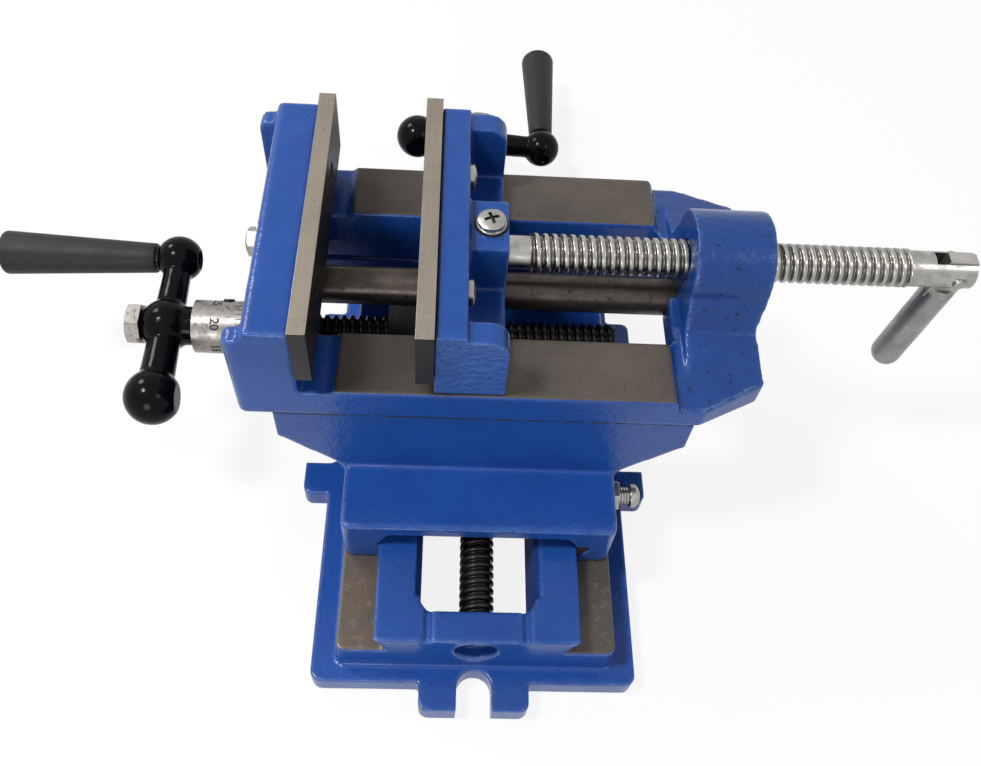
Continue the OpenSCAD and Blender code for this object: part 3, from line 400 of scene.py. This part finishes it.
flank_share = 0.34
thread_tree, given = growth("cut_thread", {
    "Length": "Float", "Pitch": "Float", "Radius": "Float", "Depth": "Float", "Crest": "Float",
    "Steps": "Int", "Finish": "Material"})
sheet, along, around = flat_sheet(thread_tree, given["Length"], given["Steps"], sides=41)
turns = calc(thread_tree, "DIVIDE", along, given["Pitch"])
hill = zigzag(thread_tree, calc(thread_tree, "SUBTRACT", turns, around))
flank = ramp(thread_tree, hill, given["Crest"], calc(thread_tree, "ADD", given["Crest"], flank_share),
             interpolation_type="SMOOTHSTEP")
cut = calc(thread_tree, "MULTIPLY", flank, given["Depth"])
rolled(thread_tree, given, sheet, along, around,
       calc(thread_tree, "SUBTRACT", given["Radius"], cut), flank)


def grown(name, tree, values):
    """A plain mesh that a geometry tree makes from its named values."""
    piece = bpy.data.objects.new(name, bpy.data.meshes.new(name))
    bpy.context.scene.collection.objects.link(piece)
    made = piece.modifiers.new("grow", "NODES")
    made.node_group = tree
    for socket in tree.interface.items_tree:
        if socket.in_out == "INPUT":
            made[socket.identifier] = values[socket.name]
    return plain(piece)


def closed(piece):
    """Open ends filled and every face turned outwards."""
    bm = bmesh.new()
    bm.from_mesh(piece.data)
    bmesh.ops.holes_fill(bm, edges=[e for e in bm.edges if e.is_boundary])
    bmesh.ops.recalc_face_normals(bm, faces=bm.faces)
    for face in bm.faces:
        face.smooth = len(face.verts) < 6
    bm.to_mesh(piece.data)
    bm.free()
    return piece


def joined(first, *others):
    """Several meshes as one piece, finishes kept."""
    bm = bmesh.new()
    finishes = []
    for part in (first, *others):
        for look in part.data.materials:
            if look not in finishes:
                finishes.append(look)
    for part in (first, *others):
        index = [finishes.index(look) for look in part.data.materials]
        for face in part.data.polygons:
            face.material_index = index[face.material_index]
        bm.from_mesh(part.data)
    first.data.materials.clear()
    for look in finishes:
        first.data.materials.append(look)
    bm.to_mesh(first.data)
    bm.free()
    for part in others:
        bpy.data.objects.remove(part)
    return first


def cut_screw(solid, name, axis, start, end, radius, depth, look, thread_look):
    """A CAD screw with the plain rod between start and end cut to a thread."""
    pitch, crest, step = 0.003, 0.40, 0.00025
    ends = turned(solid, name + "_ends", chamfer=0.0002, look=look)
    bm = bmesh.new()
    bm.from_mesh(ends.data)
    rod = []
    for face in bm.faces:
        along = [v.co[axis] for v in face.verts]
        middle = face.calc_center_median()[axis]
        if start < middle < end and max(along) - min(along) > 0.5 * (end - start):
            rod.append(face)
    bmesh.ops.delete(bm, geom=rod, context="FACES")
    bm.to_mesh(ends.data)
    bm.free()
    thread = closed(grown(name, thread_tree, {
        "Length": end - start, "Pitch": pitch, "Radius": radius, "Depth": depth, "Crest": crest,
        "Steps": int((end - start) / step), "Finish": thread_look}))
    low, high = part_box(solid)
    middle = (low + high) / 2
    middle[axis] = (start + end) / 2
    turn = Matrix.Rotation(math.pi / 2, 4, "Z") if axis == 1 else Matrix.Identity(4)
    thread.data.transform(Matrix.Translation(middle) @ turn)
    return joined(thread, ends)


oiled_black = finish(
    "oiled_black", clean=(0.018, 0.017, 0.017), stained=(0.009, 0.009, 0.010), size=140.0,
    rough=(0.26, 0.42), metallic=0.3, gloss_level=0.4, lines=(600.0, 600.0, 600.0))
oiled_thread = finish(
    "oiled_thread", clean=(0.024, 0.022, 0.021), stained=(0.012, 0.011, 0.011), size=140.0,
    rough=(0.24, 0.40), metallic=0.4, gloss_level=0.4, lines=(600.0, 600.0, 600.0),
    groove=(0.003, 0.003, 0.003))
feed_radius, feed_depth = 0.006, 0.0012
cross_spindle = cut_screw("cross_screw", "cross_spindle", axis=1, start=-0.0971, end=0.0971,
                          radius=feed_radius, depth=feed_depth, look=oiled_black, thread_look=oiled_thread)
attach(cross_spindle, "cross_feed")
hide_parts("cross_screw")


# Cross dial. A zinc plated steel collar with thirty lines and numbers stamped and filled with black.
# A headless set screw holds it on the screw's stub.
zinc = finish(
    "zinc", clean=(0.4216, 0.4114, 0.3876), stained=(0.2856, 0.2754, 0.2584), size=260.0, spread=0.16,
    rough=(0.22, 0.40), metallic=1.0, lines=(500.0, 500.0, 500.0),
    dirt=[((0.22, 0.20, 0.165), 1300.0, 0.66, 0.08)])
worn_zinc = finish(
    "worn_zinc", clean=(0.3168, 0.3027, 0.2851), stained=(0.1971, 0.1866, 0.1739), size=230.0, spread=0.18,
    rough=(0.26, 0.46), metallic=1.0, lines=(500.0, 500.0, 500.0), depth=0.00003,
    dirt=[((0.105, 0.086, 0.062), 700.0, 0.54, 0.20)])
# black fill of the dial's stamped lines and numbers, also used as painted shade in the keeper screw's cross
# slot
black_fill_and_shade = finish(
    "black_fill_and_shade", clean=(0.012, 0.012, 0.013), stained=(0.022, 0.022, 0.022), size=300.0, spread=0.3,
    rough=(0.5, 0.6), grain=(2500.0, 0.4), depth=0.00001)

short_line, longer_by, line_deep, line_wide = 0.0026, 0.0016, 0.0001, 0.00028
marks_tree, given = growth("dial_lines", {"Lines": "Int", "Radius": "Float", "Finish": "Material"})
count = node(marks_tree, "GeometryNodeInputIndex").outputs[0]
angle = calc(marks_tree, "MULTIPLY", count, calc(marks_tree, "DIVIDE", 2 * math.pi, given["Lines"]))
fifth = calc(marks_tree, "LESS_THAN", calc(marks_tree, "MODULO", count, 5.0), 0.5)
stroke = calc(marks_tree, "ADD", calc(marks_tree, "MULTIPLY", fifth, longer_by), short_line)
spot = on_circle(marks_tree, calc(marks_tree, "MULTIPLY", stroke, -0.5), given["Radius"], angle)
row = node(marks_tree, "GeometryNodePoints", Count=given["Lines"], Position=spot)
bar = node(marks_tree, "GeometryNodeMeshCube", Size=(1.0, line_deep, line_wide))
tilt = node(marks_tree, "ShaderNodeCombineXYZ", X=angle)
size = node(marks_tree, "ShaderNodeCombineXYZ", X=stroke, Y=1.0, Z=1.0)
lines = node(marks_tree, "GeometryNodeInstanceOnPoints", Points=row.outputs[0],
             Instance=bar.outputs["Mesh"], Rotation=tilt.outputs[0], Scale=size.outputs[0])
coated(marks_tree, given, lines.outputs[0])


def figure(number):
    """A number as a flat mesh, sliced finely enough to bend round a dial."""
    curve = bpy.data.curves.new("figure", "FONT")
    curve.body = str(number)
    curve.size = 0.0044
    curve.offset = 0.00014
    curve.align_x = "CENTER"
    curve.align_y = "CENTER"
    curve.resolution_u = 3
    text = bpy.data.objects.new("figure", curve)
    bpy.context.scene.collection.objects.link(text)
    bpy.context.view_layer.update()
    mesh = bpy.data.meshes.new_from_object(text.evaluated_get(bpy.context.evaluated_depsgraph_get()))
    bpy.data.objects.remove(text)
    mesh.materials.clear()
    mesh.materials.append(black_fill_and_shade)
    slice_width = 0.0003
    bm = bmesh.new()
    bm.from_mesh(mesh)
    for k in range(-9, 10):
        bmesh.ops.bisect_plane(bm, geom=bm.verts[:] + bm.edges[:] + bm.faces[:],
                               plane_co=(k * slice_width, 0, 0), plane_no=(1, 0, 0))
    bm.to_mesh(mesh)
    bm.free()
    return mesh


def graduations(name, radius, figures_x, twenty):
    """Lines and numbers on a collar along X with its inner end at the origin; twenty is the angle of 20."""
    line_count, lines_apart, figure_every = 30, math.radians(12), 5
    ring = grown(name, marks_tree, {"Lines": line_count, "Radius": radius, "Finish": black_fill_and_shade})
    ring.data.transform(Matrix.Rotation(twenty - 4 * lines_apart, 4, "X"))
    lifted = radius + 0.00003
    figures = []
    for number in range(0, line_count, figure_every):
        mesh = figure(number)
        start = twenty + lines_apart * (20 - number)
        for v in mesh.vertices:
            a = start + v.co.x / radius
            v.co = (v.co.y - figures_x, lifted * math.cos(a), lifted * math.sin(a))
        figures.append(bpy.data.objects.new("figure", mesh))
    return joined(ring, *figures)


def collar(solid, name, screw_solid, screw_name, body, place, twenty):
    """A dial with its marks, and its set screw."""
    ring = turned(solid, name, chamfer=0.0005, look=worn_zinc)
    marks = graduations(name + "_marks", radius=0.0095, figures_x=0.0100, twenty=twenty)
    marks.data.transform(place)
    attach(ring, body)
    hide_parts(solid)
    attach(marks, body)
    grub = turned(screw_solid, screw_name, chamfer=0.0001, look=oiled_black)
    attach(grub, body)
    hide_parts(screw_solid)


cross_dial_y, cross_screw_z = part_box("cross_dial")[0].y, 0.024
collar("cross_dial", "cross_collar", "cross_dial_screw", "cross_grub", "cross_feed",
       place=Matrix.Translation((0, cross_dial_y, cross_screw_z)) @ Matrix.Rotation(-math.pi / 2, 4, "Z"),
       twenty=math.radians(100))


# Cross crank. A cast arm of three balls in stoved black enamel, held by a zinc plated hex bolt.
# Its grip is a tapered plastic handle that turns on a shouldered steel pin.
black_enamel = finish(
    "black_enamel", clean=(0.0017, 0.0016, 0.0019), stained=(0.0029, 0.0026, 0.0030), size=70.0, spread=0.3,
    rough=(0.10, 0.19), gloss_level=0.09, grain=(330.0, 0.5), depth=0.00005)
grip_plastic = finish(
    "grip_plastic", clean=(0.0243, 0.0216, 0.0216), stained=(0.0171, 0.0153, 0.0153), size=120.0, spread=0.3,
    rough=(0.42, 0.55), gloss_level=0.18, grain=(2600.0, 0.2), depth=0.00006)


def spun(name, profile, look, sides=48):
    """A closed lathe shape along +Z from (radius, height) points in millimetres."""
    bm = bmesh.new()
    rings = [[bm.verts.new((r * 1e-3 * math.cos(2 * math.pi * k / sides),
                            r * 1e-3 * math.sin(2 * math.pi * k / sides), z * 1e-3)) for k in range(sides)]
             for r, z in profile]
    for a, b in zip(rings, rings[1:]):
        for k in range(sides):
            bm.faces.new((a[k], a[(k + 1) % sides], b[(k + 1) % sides], b[k])).smooth = True
    bm.faces.new(rings[0][::-1])
    bm.faces.new(rings[-1])
    mesh = bpy.data.meshes.new(name)
    bm.to_mesh(mesh)
    bm.free()
    mesh.materials.append(look)
    piece = bpy.data.objects.new(name, mesh)
    bpy.context.scene.collection.objects.link(piece)
    return piece


def handle_profile(length, neck, belly):
    """Radius and height (mm) of a grip that swells to its blunt end, which is recessed for the pin."""
    neck_round, end_round, end_length, pin_recess, lip = 0.6, 1.6, 2.0, 4.9, 0.15
    points = [(neck - neck_round, 0.0), (neck - lip, lip), (neck, neck_round)]
    for i in range(1, 17):
        t = i / 16
        points.append((neck + (belly - neck) * t, neck_round + t * (length - neck_round - end_length)))
    for i in range(1, 9):
        a = math.radians(90) * i / 8
        points.append((belly - end_round * (1 - math.cos(a)), length - end_length + end_round * math.sin(a)))
    return points + [(belly - end_round - 1.0, length - lip), (pin_recess + 0.1, length),
                     (pin_recess, length - lip), (pin_recess, length - end_length)]


def crank(side, body, grip_body, axis, sign):
    """Arm, bolt, pin and grip of one crank; its grip lies along the given axis."""
    arm = as_cast(side + "_crank", side + "_arm", grid=0.00055, passes=6, share=0.5)
    paint_with(arm, black_enamel)
    bolt = turned(side + "_crank_bolt", side + "_arm_bolt", chamfer=0.0006, look=worn_zinc)
    pin = turned(side + "_grip_pin", side + "_pin", chamfer=0.0002, look=zinc)
    grip = spun(side + "_handle", handle_profile(length=56.0, neck=5.5, belly=8.0), grip_plastic)
    low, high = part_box(side + "_grip")
    neck_end = (low + high) / 2
    neck_end[axis] = low[axis] if sign > 0 else high[axis]
    turn = Matrix.Rotation(-math.pi / 2, 4, "X" if axis == 1 else "Y")
    grip.data.transform(Matrix.Translation(neck_end) @ turn)
    for piece, solid, on, slot in (
            (arm, "_crank", body, "black_steel"),
            (bolt, "_crank_bolt", body, "zinc_plate"),
            (pin, "_grip_pin", body, "zinc_plate"),
            (grip, "_grip", grip_body, "grip_plastic")):
        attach(piece, on)
        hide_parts(side + solid)


crank("cross", "cross_feed", "cross_handle", axis=1, sign=1)


# Saddle. One casting with a female dovetail under it, another across its top, and an open channel between.
# It is painted blue like the base, with a near-black band along the seam at its top as painted shade.
saddle_shade_band_z = 79.9
saddle_casting = as_cast("saddle", "saddle_casting", grid=0.0008, passes=4, share=0.22)
# a near-black band along the saddle's top edge is painted shade of the gap under the vise body
paint_with(saddle_casting, blue_paint, (oil_and_shade_film, lambda at, up: at.z > saddle_shade_band_z))
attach(saddle_casting, "saddle")
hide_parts("saddle")


# Nuts of the two feed screws. Blocks of black iron that run on the threads.
# Each is held on the saddle by two socket head screws.
for solid, name, chamfer, slot in (
        ("cross_nut", "cross_nut_block", 0.0006, "nut_iron"),
        ("table_nut", "table_nut_block", 0.0006, "nut_iron"),
        ("cross_nut_bolts", "cross_nut_screws", 0.0002, "black_steel"),
        ("table_nut_bolts", "table_nut_screws", 0.0002, "black_steel")):
    piece = turned(solid, name, chamfer, oiled_black)
    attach(piece, "saddle")
    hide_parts(solid)


# Gibs. Two ground strips, one beside each dovetail, that take up its play.
# Each is pressed by three zinc plated screws with lock nuts.
brassy_strip = finish(
    "brassy_strip", clean=(0.136, 0.100, 0.056), stained=(0.072, 0.0544, 0.0336), size=90.0, spread=0.25,
    rough=(0.32, 0.5), metallic=0.9, lines=(60.0, 1800.0, 1800.0), depth=0.00004)
dull_thread = finish(
    "dull_thread", clean=(0.272, 0.248, 0.208), stained=(0.176, 0.160, 0.132), size=400.0,
    rough=(0.28, 0.42), metallic=1.0, lines=(500.0, 500.0, 500.0), groove=(0.018, 0.016, 0.013))
gib_thread = {"Length": 0.0042, "Pitch": 0.001, "Radius": 0.0033, "Depth": 0.0005, "Crest": 0.2, "Steps": 43,
              "Finish": dull_thread}
gib_screw_places = (-0.048, 0.0, 0.048)
cross_gib_x, cross_gib_y, cross_gib_z = 0.0533, -0.003, 0.030
table_gib_y, table_gib_z = 0.0508, 0.076
for side in ("cross", "table"):
    strip = turned(side + "_gib", side + "_strip", chamfer=0.0002, look=brassy_strip)
    screws = turned(side + "_gib_screws", side + "_strip_screws", chamfer=0.00025, look=zinc)
    nuts = turned(side + "_gib_nuts", side + "_strip_nuts", chamfer=0.0004, look=zinc)
    for along in gib_screw_places:
        thread = closed(grown("thread", thread_tree, gib_thread))
        if side == "cross":
            place = Matrix.Translation((cross_gib_x, along + cross_gib_y, cross_gib_z))
        else:
            place = (Matrix.Translation((along, table_gib_y, table_gib_z))
                     @ Matrix.Rotation(math.pi / 2, 4, "Z"))
        thread.data.transform(place)
        joined(screws, thread)
    for piece, solid, slot in (
            (strip, "_gib", "bronze"),
            (screws, "_gib_screws", "zinc_plate"),
            (nuts, "_gib_nuts", "zinc_plate")):
        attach(piece, "saddle")
        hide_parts(side + solid)


# Vise body. Fixed jaw, two jaw ways, screw tower and hanging dovetail in one blue casting.
# The tops of the two ways are milled bare and brown, and coloured darker towards the fixed jaw.
# The tower's paint is coloured darker as painted shade, with dark specks of grime.
bed_iron = finish(
    "bed_iron", clean=(0.0925, 0.0768, 0.0625), stained=(0.0625, 0.0521, 0.0443), size=30.0, spread=0.14,
    rough=(0.36, 0.55), metallic=0.4, lines=(90.0, 1800.0, 500.0), depth=0.00003,
    zone=((0.030, 0.023, 0.018), -0.02, 0.02), dirt=[(rust_pits, 900.0, 0.64, 0.07)])
# a darker blue that is painted shade on the tower, with dark specks of grime and pale chips
shade_and_grime_paint = finish(
    "shade_and_grime_paint", clean=(0.0090, 0.050, 0.224), stained=(0.0062, 0.036, 0.170), size=45.0, spread=0.25,
    rough=(0.15, 0.28), gloss_level=0.30, grain=(620.0, 1.2), depth=0.00016, worn_and_lit_edge=rubbed_and_highlit_blue,
    dirt=[((0.005, 0.011, 0.032), 430.0, 0.64, 0.08), ((0.13, 0.20, 0.42), 1300.0, 0.73, 0.04)])
bed_way_z, bed_x0, bed_x1 = 94.6, -47.5, 58.8
tower_x, tower_foot_z, tower_sides_z = 59.3, 84.0, 96.5


def milled_on_bed(at, up):
    """The tops of the two jaw ways."""
    return abs(at.z - bed_way_z) < 0.4 and up.z > 0.8 and bed_x0 < at.x < bed_x1


def oily_on_tower(at, up):
    """The tower all round above the ways, and all but its two sides below them."""
    return at.x > tower_x and (at.z > tower_sides_z or (at.z > tower_foot_z and abs(up.y) < 0.8))


vise_casting = as_cast("vise_body", "vise_casting", grid=0.0008, passes=4, share=0.22)
# the tower's darker paint is painted shade, with specks of grime
paint_with(vise_casting, blue_paint, (shade_and_grime_paint, oily_on_tower), (bed_iron, milled_on_bed))
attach(vise_casting, "vise")
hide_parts("vise_body")


# Table feed. A bronze bush, a blacked screw, a zinc plated dial and a ball crank, as on the cross feed.
# They sit in the bracket under the fixed jaw and move the vise over the saddle.
table_sleeve = turned("table_bush", "table_sleeve", chamfer=0.0002, look=bronze)
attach(table_sleeve, "vise")
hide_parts("table_bush")
table_spindle = cut_screw("table_screw", "table_spindle", axis=0, start=-0.0616, end=0.0469,
                          radius=feed_radius, depth=feed_depth, look=oiled_black, thread_look=oiled_thread)
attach(table_spindle, "table_feed")
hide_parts("table_screw")
table_dial_x, vise_y, table_screw_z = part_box("table_dial")[1].x, -0.003, 0.060
collar("table_dial", "table_collar", "table_dial_screw", "table_grub", "table_feed",
       place=Matrix.Translation((table_dial_x, vise_y, table_screw_z)), twenty=math.radians(121))
crank("table", "table_feed", "table_handle", axis=0, sign=-1)


# Guide rod. A drawn steel bar between the fixed jaw and the tower, browned and pitted.
# Over its end a bolt with a broad washer sits in the middle of the fixed jaw's back.
rod_steel = finish(
    "rod_steel", clean=(0.0861, 0.0703, 0.0574), stained=(0.0395, 0.0323, 0.0272), size=130.0,
    rough=(0.28, 0.46), metallic=0.6, lines=(60.0, 900.0, 900.0), streaks=0.25, depth=0.00003,
    dirt=[((0.020, 0.016, 0.014), 700.0, 0.62, 0.08)])
for solid, name, chamfer, look, slot in (
        ("guide_rod", "jaw_rod", 0.0005, rod_steel, "ground_steel"),
        ("tie_bolt", "back_bolt", 0.0004, zinc, "zinc_plate"),
        ("tie_washer", "back_washer", 0.0003, zinc, "zinc_plate")):
    piece = turned(solid, name, chamfer, look)
    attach(piece, "vise")
    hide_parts(solid)


# Jaw plates. Two flat bars of steel, ground bright on top and coloured near black on their sides.
# Each is held by two bolts from behind; the fixed plate's bolts end in oily holes.
plate_steel = finish(
    "plate_steel", clean=(0.2812, 0.2404, 0.1940), stained=(0.1968, 0.1673, 0.1377), size=38.0, spread=0.25,
    rough=(0.34, 0.50), metallic=0.5, lines=(1500.0, 45.0, 1500.0), streaks=0.16, depth=0.00003,
    dirt=[((0.08, 0.066, 0.054), 700.0, 0.68, 0.08)])
plate_side = finish(
    "plate_side", clean=(0.0217, 0.0195, 0.0195), stained=(0.0137, 0.0123, 0.0123), size=60.0,
    rough=(0.34, 0.5), metallic=0.3, gloss_level=0.3, lines=(900.0, 60.0, 900.0), streaks=0.25,
    depth=0.00003)
plate_top_z, bolt_end_x = 124.0, -60.0
for solid, name, chamfer, look, body, slot in (
        ("fixed_jaw_plate", "fixed_plate", 0.0009, plate_steel, "vise", "ground_steel"),
        ("fixed_jaw_bolts", "fixed_plate_bolts", 0.0004, zinc, "vise", "zinc_plate"),
        ("moving_jaw_plate", "moving_plate", 0.0009, plate_steel, "jaw", "ground_steel"),
        ("moving_jaw_bolts", "moving_plate_bolts", 0.0004, zinc, "jaw", "zinc_plate")):
    piece = turned(solid, name, chamfer, look)
    if look == plate_steel:
        paint_with(piece, plate_steel, (plate_side, lambda at, up: up.z < 0.6 or at.z < plate_top_z))
    if name == "fixed_plate_bolts":
        paint_with(piece, zinc, (oil_and_shade_film, lambda at, up: at.x > bolt_end_x))
    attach(piece, body)
    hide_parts(solid)


# Moving jaw. A blue casting that slides on the ways and the guide rod, with its ends left lumpy.
# The vise screw's nose turns in its middle block, and a cross-slot pan screw on a washer keeps it in.
# A near-black ring round the washer is painted shade where it sits in its recess.
lumpy_paint = finish(
    "lumpy_paint", clean=(0.027, 0.092, 0.325), stained=(0.018, 0.066, 0.250), size=60.0, spread=0.25,
    rough=(0.20, 0.34), gloss_level=0.35, grain=(430.0, 0.6), depth=0.00055, worn_and_lit_edge=rubbed_and_highlit_blue)
jaw_y, jaw_half = -3.0, 46.0
jaw_casting = as_cast("moving_jaw", "jaw_casting", grid=0.0006, passes=5, share=0.25)
paint_with(jaw_casting, blue_paint,
           (lumpy_paint, lambda at, up: abs(up.y) > 0.8 and abs(at.y - jaw_y) > jaw_half))
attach(jaw_casting, "jaw")
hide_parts("moving_jaw")
keeper_x, shade_ring_z, shade_ring_radius, shade_ring_thick = -0.6, 119.5, 5.5, 0.05
recess_z0, recess_floor_z, recess_z1, recess_r = 121.0, 121.7, 122.8, 2.7


def in_keeper_recess(at, up):
    """The floor and walls of the cross slot, coloured black as painted shade."""
    near = recess_z0 < at.z < recess_z1 and math.hypot(at.x - keeper_x, at.y - jaw_y) < recess_r
    return near and (at.z < recess_floor_z or up.z < 0.6)


for solid, name in (("keeper_screw", "keeper_pan_screw"), ("keeper_washer", "keeper_ring")):
    piece = turned(solid, name, chamfer=0.0002, look=zinc)
    if name == "keeper_pan_screw":
        # the cross slot is coloured black as painted shade
        paint_with(piece, zinc, (black_fill_and_shade, in_keeper_recess))
    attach(piece, "jaw")
    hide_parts(solid)
# a thin near-black ring round the keeper washer, painted shade
shade_ring = spun("keeper_shade", [(shade_ring_radius, 0.0), (shade_ring_radius, shade_ring_thick)], oil_and_shade_film)
shade_ring.data.transform(Matrix.Translation(Vector((keeper_x, jaw_y, shade_ring_z)) / 1000))
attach(shade_ring, "jaw")


# Vise screw. A zinc plated bar with a right-hand thread of 3 mm pitch through the tower.
# Its end is slotted for the tongue of a folding handle and drilled across for the handle's pin.
zinc_thread = finish(
    "zinc_thread", clean=(0.42, 0.412, 0.385), stained=(0.32, 0.31, 0.286), size=260.0, spread=0.16,
    rough=(0.20, 0.36), metallic=1.0, lines=(500.0, 500.0, 500.0), groove=(0.13, 0.122, 0.105))
vise_spindle = cut_screw("vise_screw", "vise_spindle", axis=0, start=0.0130, end=0.1380,
                         radius=0.0065, depth=0.0010, look=zinc, thread_look=zinc_thread)
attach(vise_spindle, "vise_feed")
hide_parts("vise_screw")
pivot = turned("handle_pin", "fold_pin", chamfer=0.0003, look=zinc)
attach(pivot, "vise_feed")
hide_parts("handle_pin")


# Folding handle. A round steel bar with a filed tongue that swings on the cross pin.
# Its outer half is rolled with a diamond knurl.
teeth_slant, groove_edge = 0.75, 4.0
knurl_tree, given = growth("diamond_knurl", {
    "Length": "Float", "Radius": "Float", "Depth": "Float", "Teeth": "Float", "Finish": "Material"})
sheet, along, around = flat_sheet(knurl_tree, given["Length"], steps=181, sides=193)
girth = calc(knurl_tree, "MULTIPLY", given["Radius"], 2 * math.pi)
round_teeth = calc(knurl_tree, "MULTIPLY", around, given["Teeth"])
long_teeth = calc(knurl_tree, "MULTIPLY", calc(knurl_tree, "DIVIDE", along, girth),
                  calc(knurl_tree, "MULTIPLY", given["Teeth"], teeth_slant))
left_handed = zigzag(knurl_tree, calc(knurl_tree, "ADD", round_teeth, long_teeth))
right_handed = zigzag(knurl_tree, calc(knurl_tree, "SUBTRACT", round_teeth, long_teeth))
deepest = calc(knurl_tree, "MAXIMUM", left_handed, right_handed)
cut = calc(knurl_tree, "MULTIPLY", deepest, given["Depth"])
rolled(knurl_tree, given, sheet, along, around, calc(knurl_tree, "SUBTRACT", given["Radius"], cut),
       calc(knurl_tree, "POWER", deepest, groove_edge))

handle_steel = finish(
    "handle_steel", clean=(0.2924, 0.2881, 0.2795), stained=(0.2064, 0.2021, 0.1935), size=120.0,
    rough=(0.26, 0.42), metallic=0.9, lines=(900.0, 900.0, 120.0))
knurled_steel = finish(
    "knurled_steel", clean=(0.3784, 0.3741, 0.3612), stained=(0.2924, 0.2881, 0.2795), size=120.0,
    rough=(0.28, 0.42), metallic=0.9, lines=(900.0, 900.0, 900.0), groove=(0.035, 0.034, 0.033))
filed_steel = finish(
    "filed_steel", clean=(0.450, 0.435, 0.405), stained=(0.345, 0.330, 0.3075), size=200.0,
    rough=(0.34, 0.5), metallic=0.5, lines=(300.0, 1500.0, 300.0))
tongue_z = 104.0
hinge = Vector((0.1548, -0.003, 0.107))
handle_lean = math.radians(5)
knurl_drop = 0.0355
fold_bar = turned("folding_handle", "fold_bar", chamfer=0.0004, look=handle_steel)
paint_with(fold_bar, handle_steel, (filed_steel, lambda at, up: at.z > tongue_z))
knurl = closed(grown("fold_knurl", knurl_tree, {
    "Length": 0.024, "Radius": 0.00542, "Depth": 0.0005, "Teeth": 24.0, "Finish": knurled_steel}))
knurl.data.transform(Matrix.Translation(hinge) @ Matrix.Rotation(handle_lean, 4, "Y")
                     @ Matrix.Translation((0, 0, -knurl_drop)) @ Matrix.Rotation(math.pi / 2, 4, "Y"))
joined(fold_bar, knurl)
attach(fold_bar, "fold_handle")
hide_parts("folding_handle")


# Studio. A white floor and sky that stay white to the camera and in reflections.
# Four soft lamps stand above, clear of where the flat tops would mirror them.
bpy.ops.mesh.primitive_plane_add(size=30.0, location=(0, 0, -0.0002))
floor = bpy.context.object
floor.name = "floor"


def white_where_seen(tree, share):
    """The given share for rays that should see plain white, and 0 for the rest."""
    path = node(tree, "ShaderNodeLightPath").outputs
    mirrored = calc(tree, "MAXIMUM", path["Is Glossy Ray"], path["Is Transmission Ray"])
    return calc(tree, "MULTIPLY", calc(tree, "MAXIMUM", path["Is Camera Ray"], mirrored), share)


floor_white = bpy.data.materials.new("floor_white")
floor_white.use_nodes = True
tree = floor_white.node_tree
tree.nodes.remove(tree.nodes["Principled BSDF"])
matt = node(tree, "ShaderNodeBsdfDiffuse", Color=(0.9, 0.9, 0.9, 1.0))
white = node(tree, "ShaderNodeEmission", Color=(1.0, 1.0, 1.0, 1.0), Strength=1.0)
away = node(tree, "ShaderNodeVectorMath", operation="LENGTH")
tree.links.new(own_place(tree), away.inputs[0])
whiteness = ramp(tree, away.outputs["Value"], 0.5, 2.0, To_Min=0.86, To_Max=1.0)
mix = node(tree, "ShaderNodeMixShader")
sources = white_where_seen(tree, whiteness), matt.outputs[0], white.outputs[0]
for socket, source in zip(mix.inputs, sources):
    tree.links.new(source, socket)
tree.links.new(mix.outputs[0], tree.nodes["Material Output"].inputs["Surface"])
floor.data.materials.append(floor_white)

sky_light = 0.24
world = bpy.data.worlds.new("studio")
bpy.context.scene.world = world
world.use_nodes = True
sky = world.node_tree.nodes["Background"].inputs
sky["Color"].default_value = (1.0, 1.0, 1.0, 1.0)
feed(world.node_tree, sky["Strength"], calc(
    world.node_tree, "ADD", white_where_seen(world.node_tree, 1.0 - sky_light), sky_light))


def lamp(name, place, aim, size, watts):
    """A soft round lamp that looks at a point."""
    light = bpy.data.lights.new(name, "AREA")
    light.energy = watts
    light.shape = "DISK"
    light.size = size
    made = bpy.data.objects.new(name, light)
    made.location = place
    made.rotation_euler = (Vector(aim) - Vector(place)).to_track_quat("-Z", "Y").to_euler()
    bpy.context.scene.collection.objects.link(made)


lamp("key", place=(-0.55, -0.15, 1.1), aim=(0, 0, 0.08), size=0.22, watts=10.0)
lamp("fill", place=(-0.25, -1.2, 0.4), aim=(0, 0, 0.06), size=0.5, watts=4.5)
lamp("side", place=(0.6, -0.45, 0.9), aim=(0, 0, 0.06), size=0.3, watts=1.2)
lamp("back", place=(-0.8, 0.6, 0.9), aim=(0, 0, 0.08), size=0.35, watts=6.0)


# Camera. Its place, angles and lens come from a perspective fit of the vise's corners in the photograph.
# The lens's length and centre are in pixels of a picture 981 pixels wide.
picture_width, lens_pixels, centre_pixels = 981, 970.43, 492.87
camera_place = (-0.01509, -0.21219, 0.34631)
yaw, pitch, tilt_angle = math.radians(5.65), math.radians(56.45), math.radians(6.62)
ahead = Vector((math.sin(yaw) * math.cos(pitch), math.cos(yaw) * math.cos(pitch), -math.sin(pitch)))
right = Vector((math.cos(yaw), -math.sin(yaw), 0))
up = right.cross(ahead)
right_tilted = math.cos(tilt_angle) * right + math.sin(tilt_angle) * up
up_tilted = math.cos(tilt_angle) * up - math.sin(tilt_angle) * right
camera_data = bpy.data.cameras.new("camera")
camera_data.sensor_width = 36.0
camera_data.sensor_fit = "HORIZONTAL"
camera_data.lens = lens_pixels / picture_width * camera_data.sensor_width
camera_data.shift_x = (picture_width / 2 - centre_pixels) / picture_width
camera_data.clip_start = 0.01
camera = bpy.data.objects.new("camera", camera_data)
camera.matrix_world = Matrix.Translation(camera_place) @ Matrix(
    (right_tilted, up_tilted, -ahead)).transposed().to_4x4()
bpy.context.scene.collection.objects.link(camera)
bpy.context.scene.camera = camera
bpy.context.scene.view_settings.view_transform = "Standard"
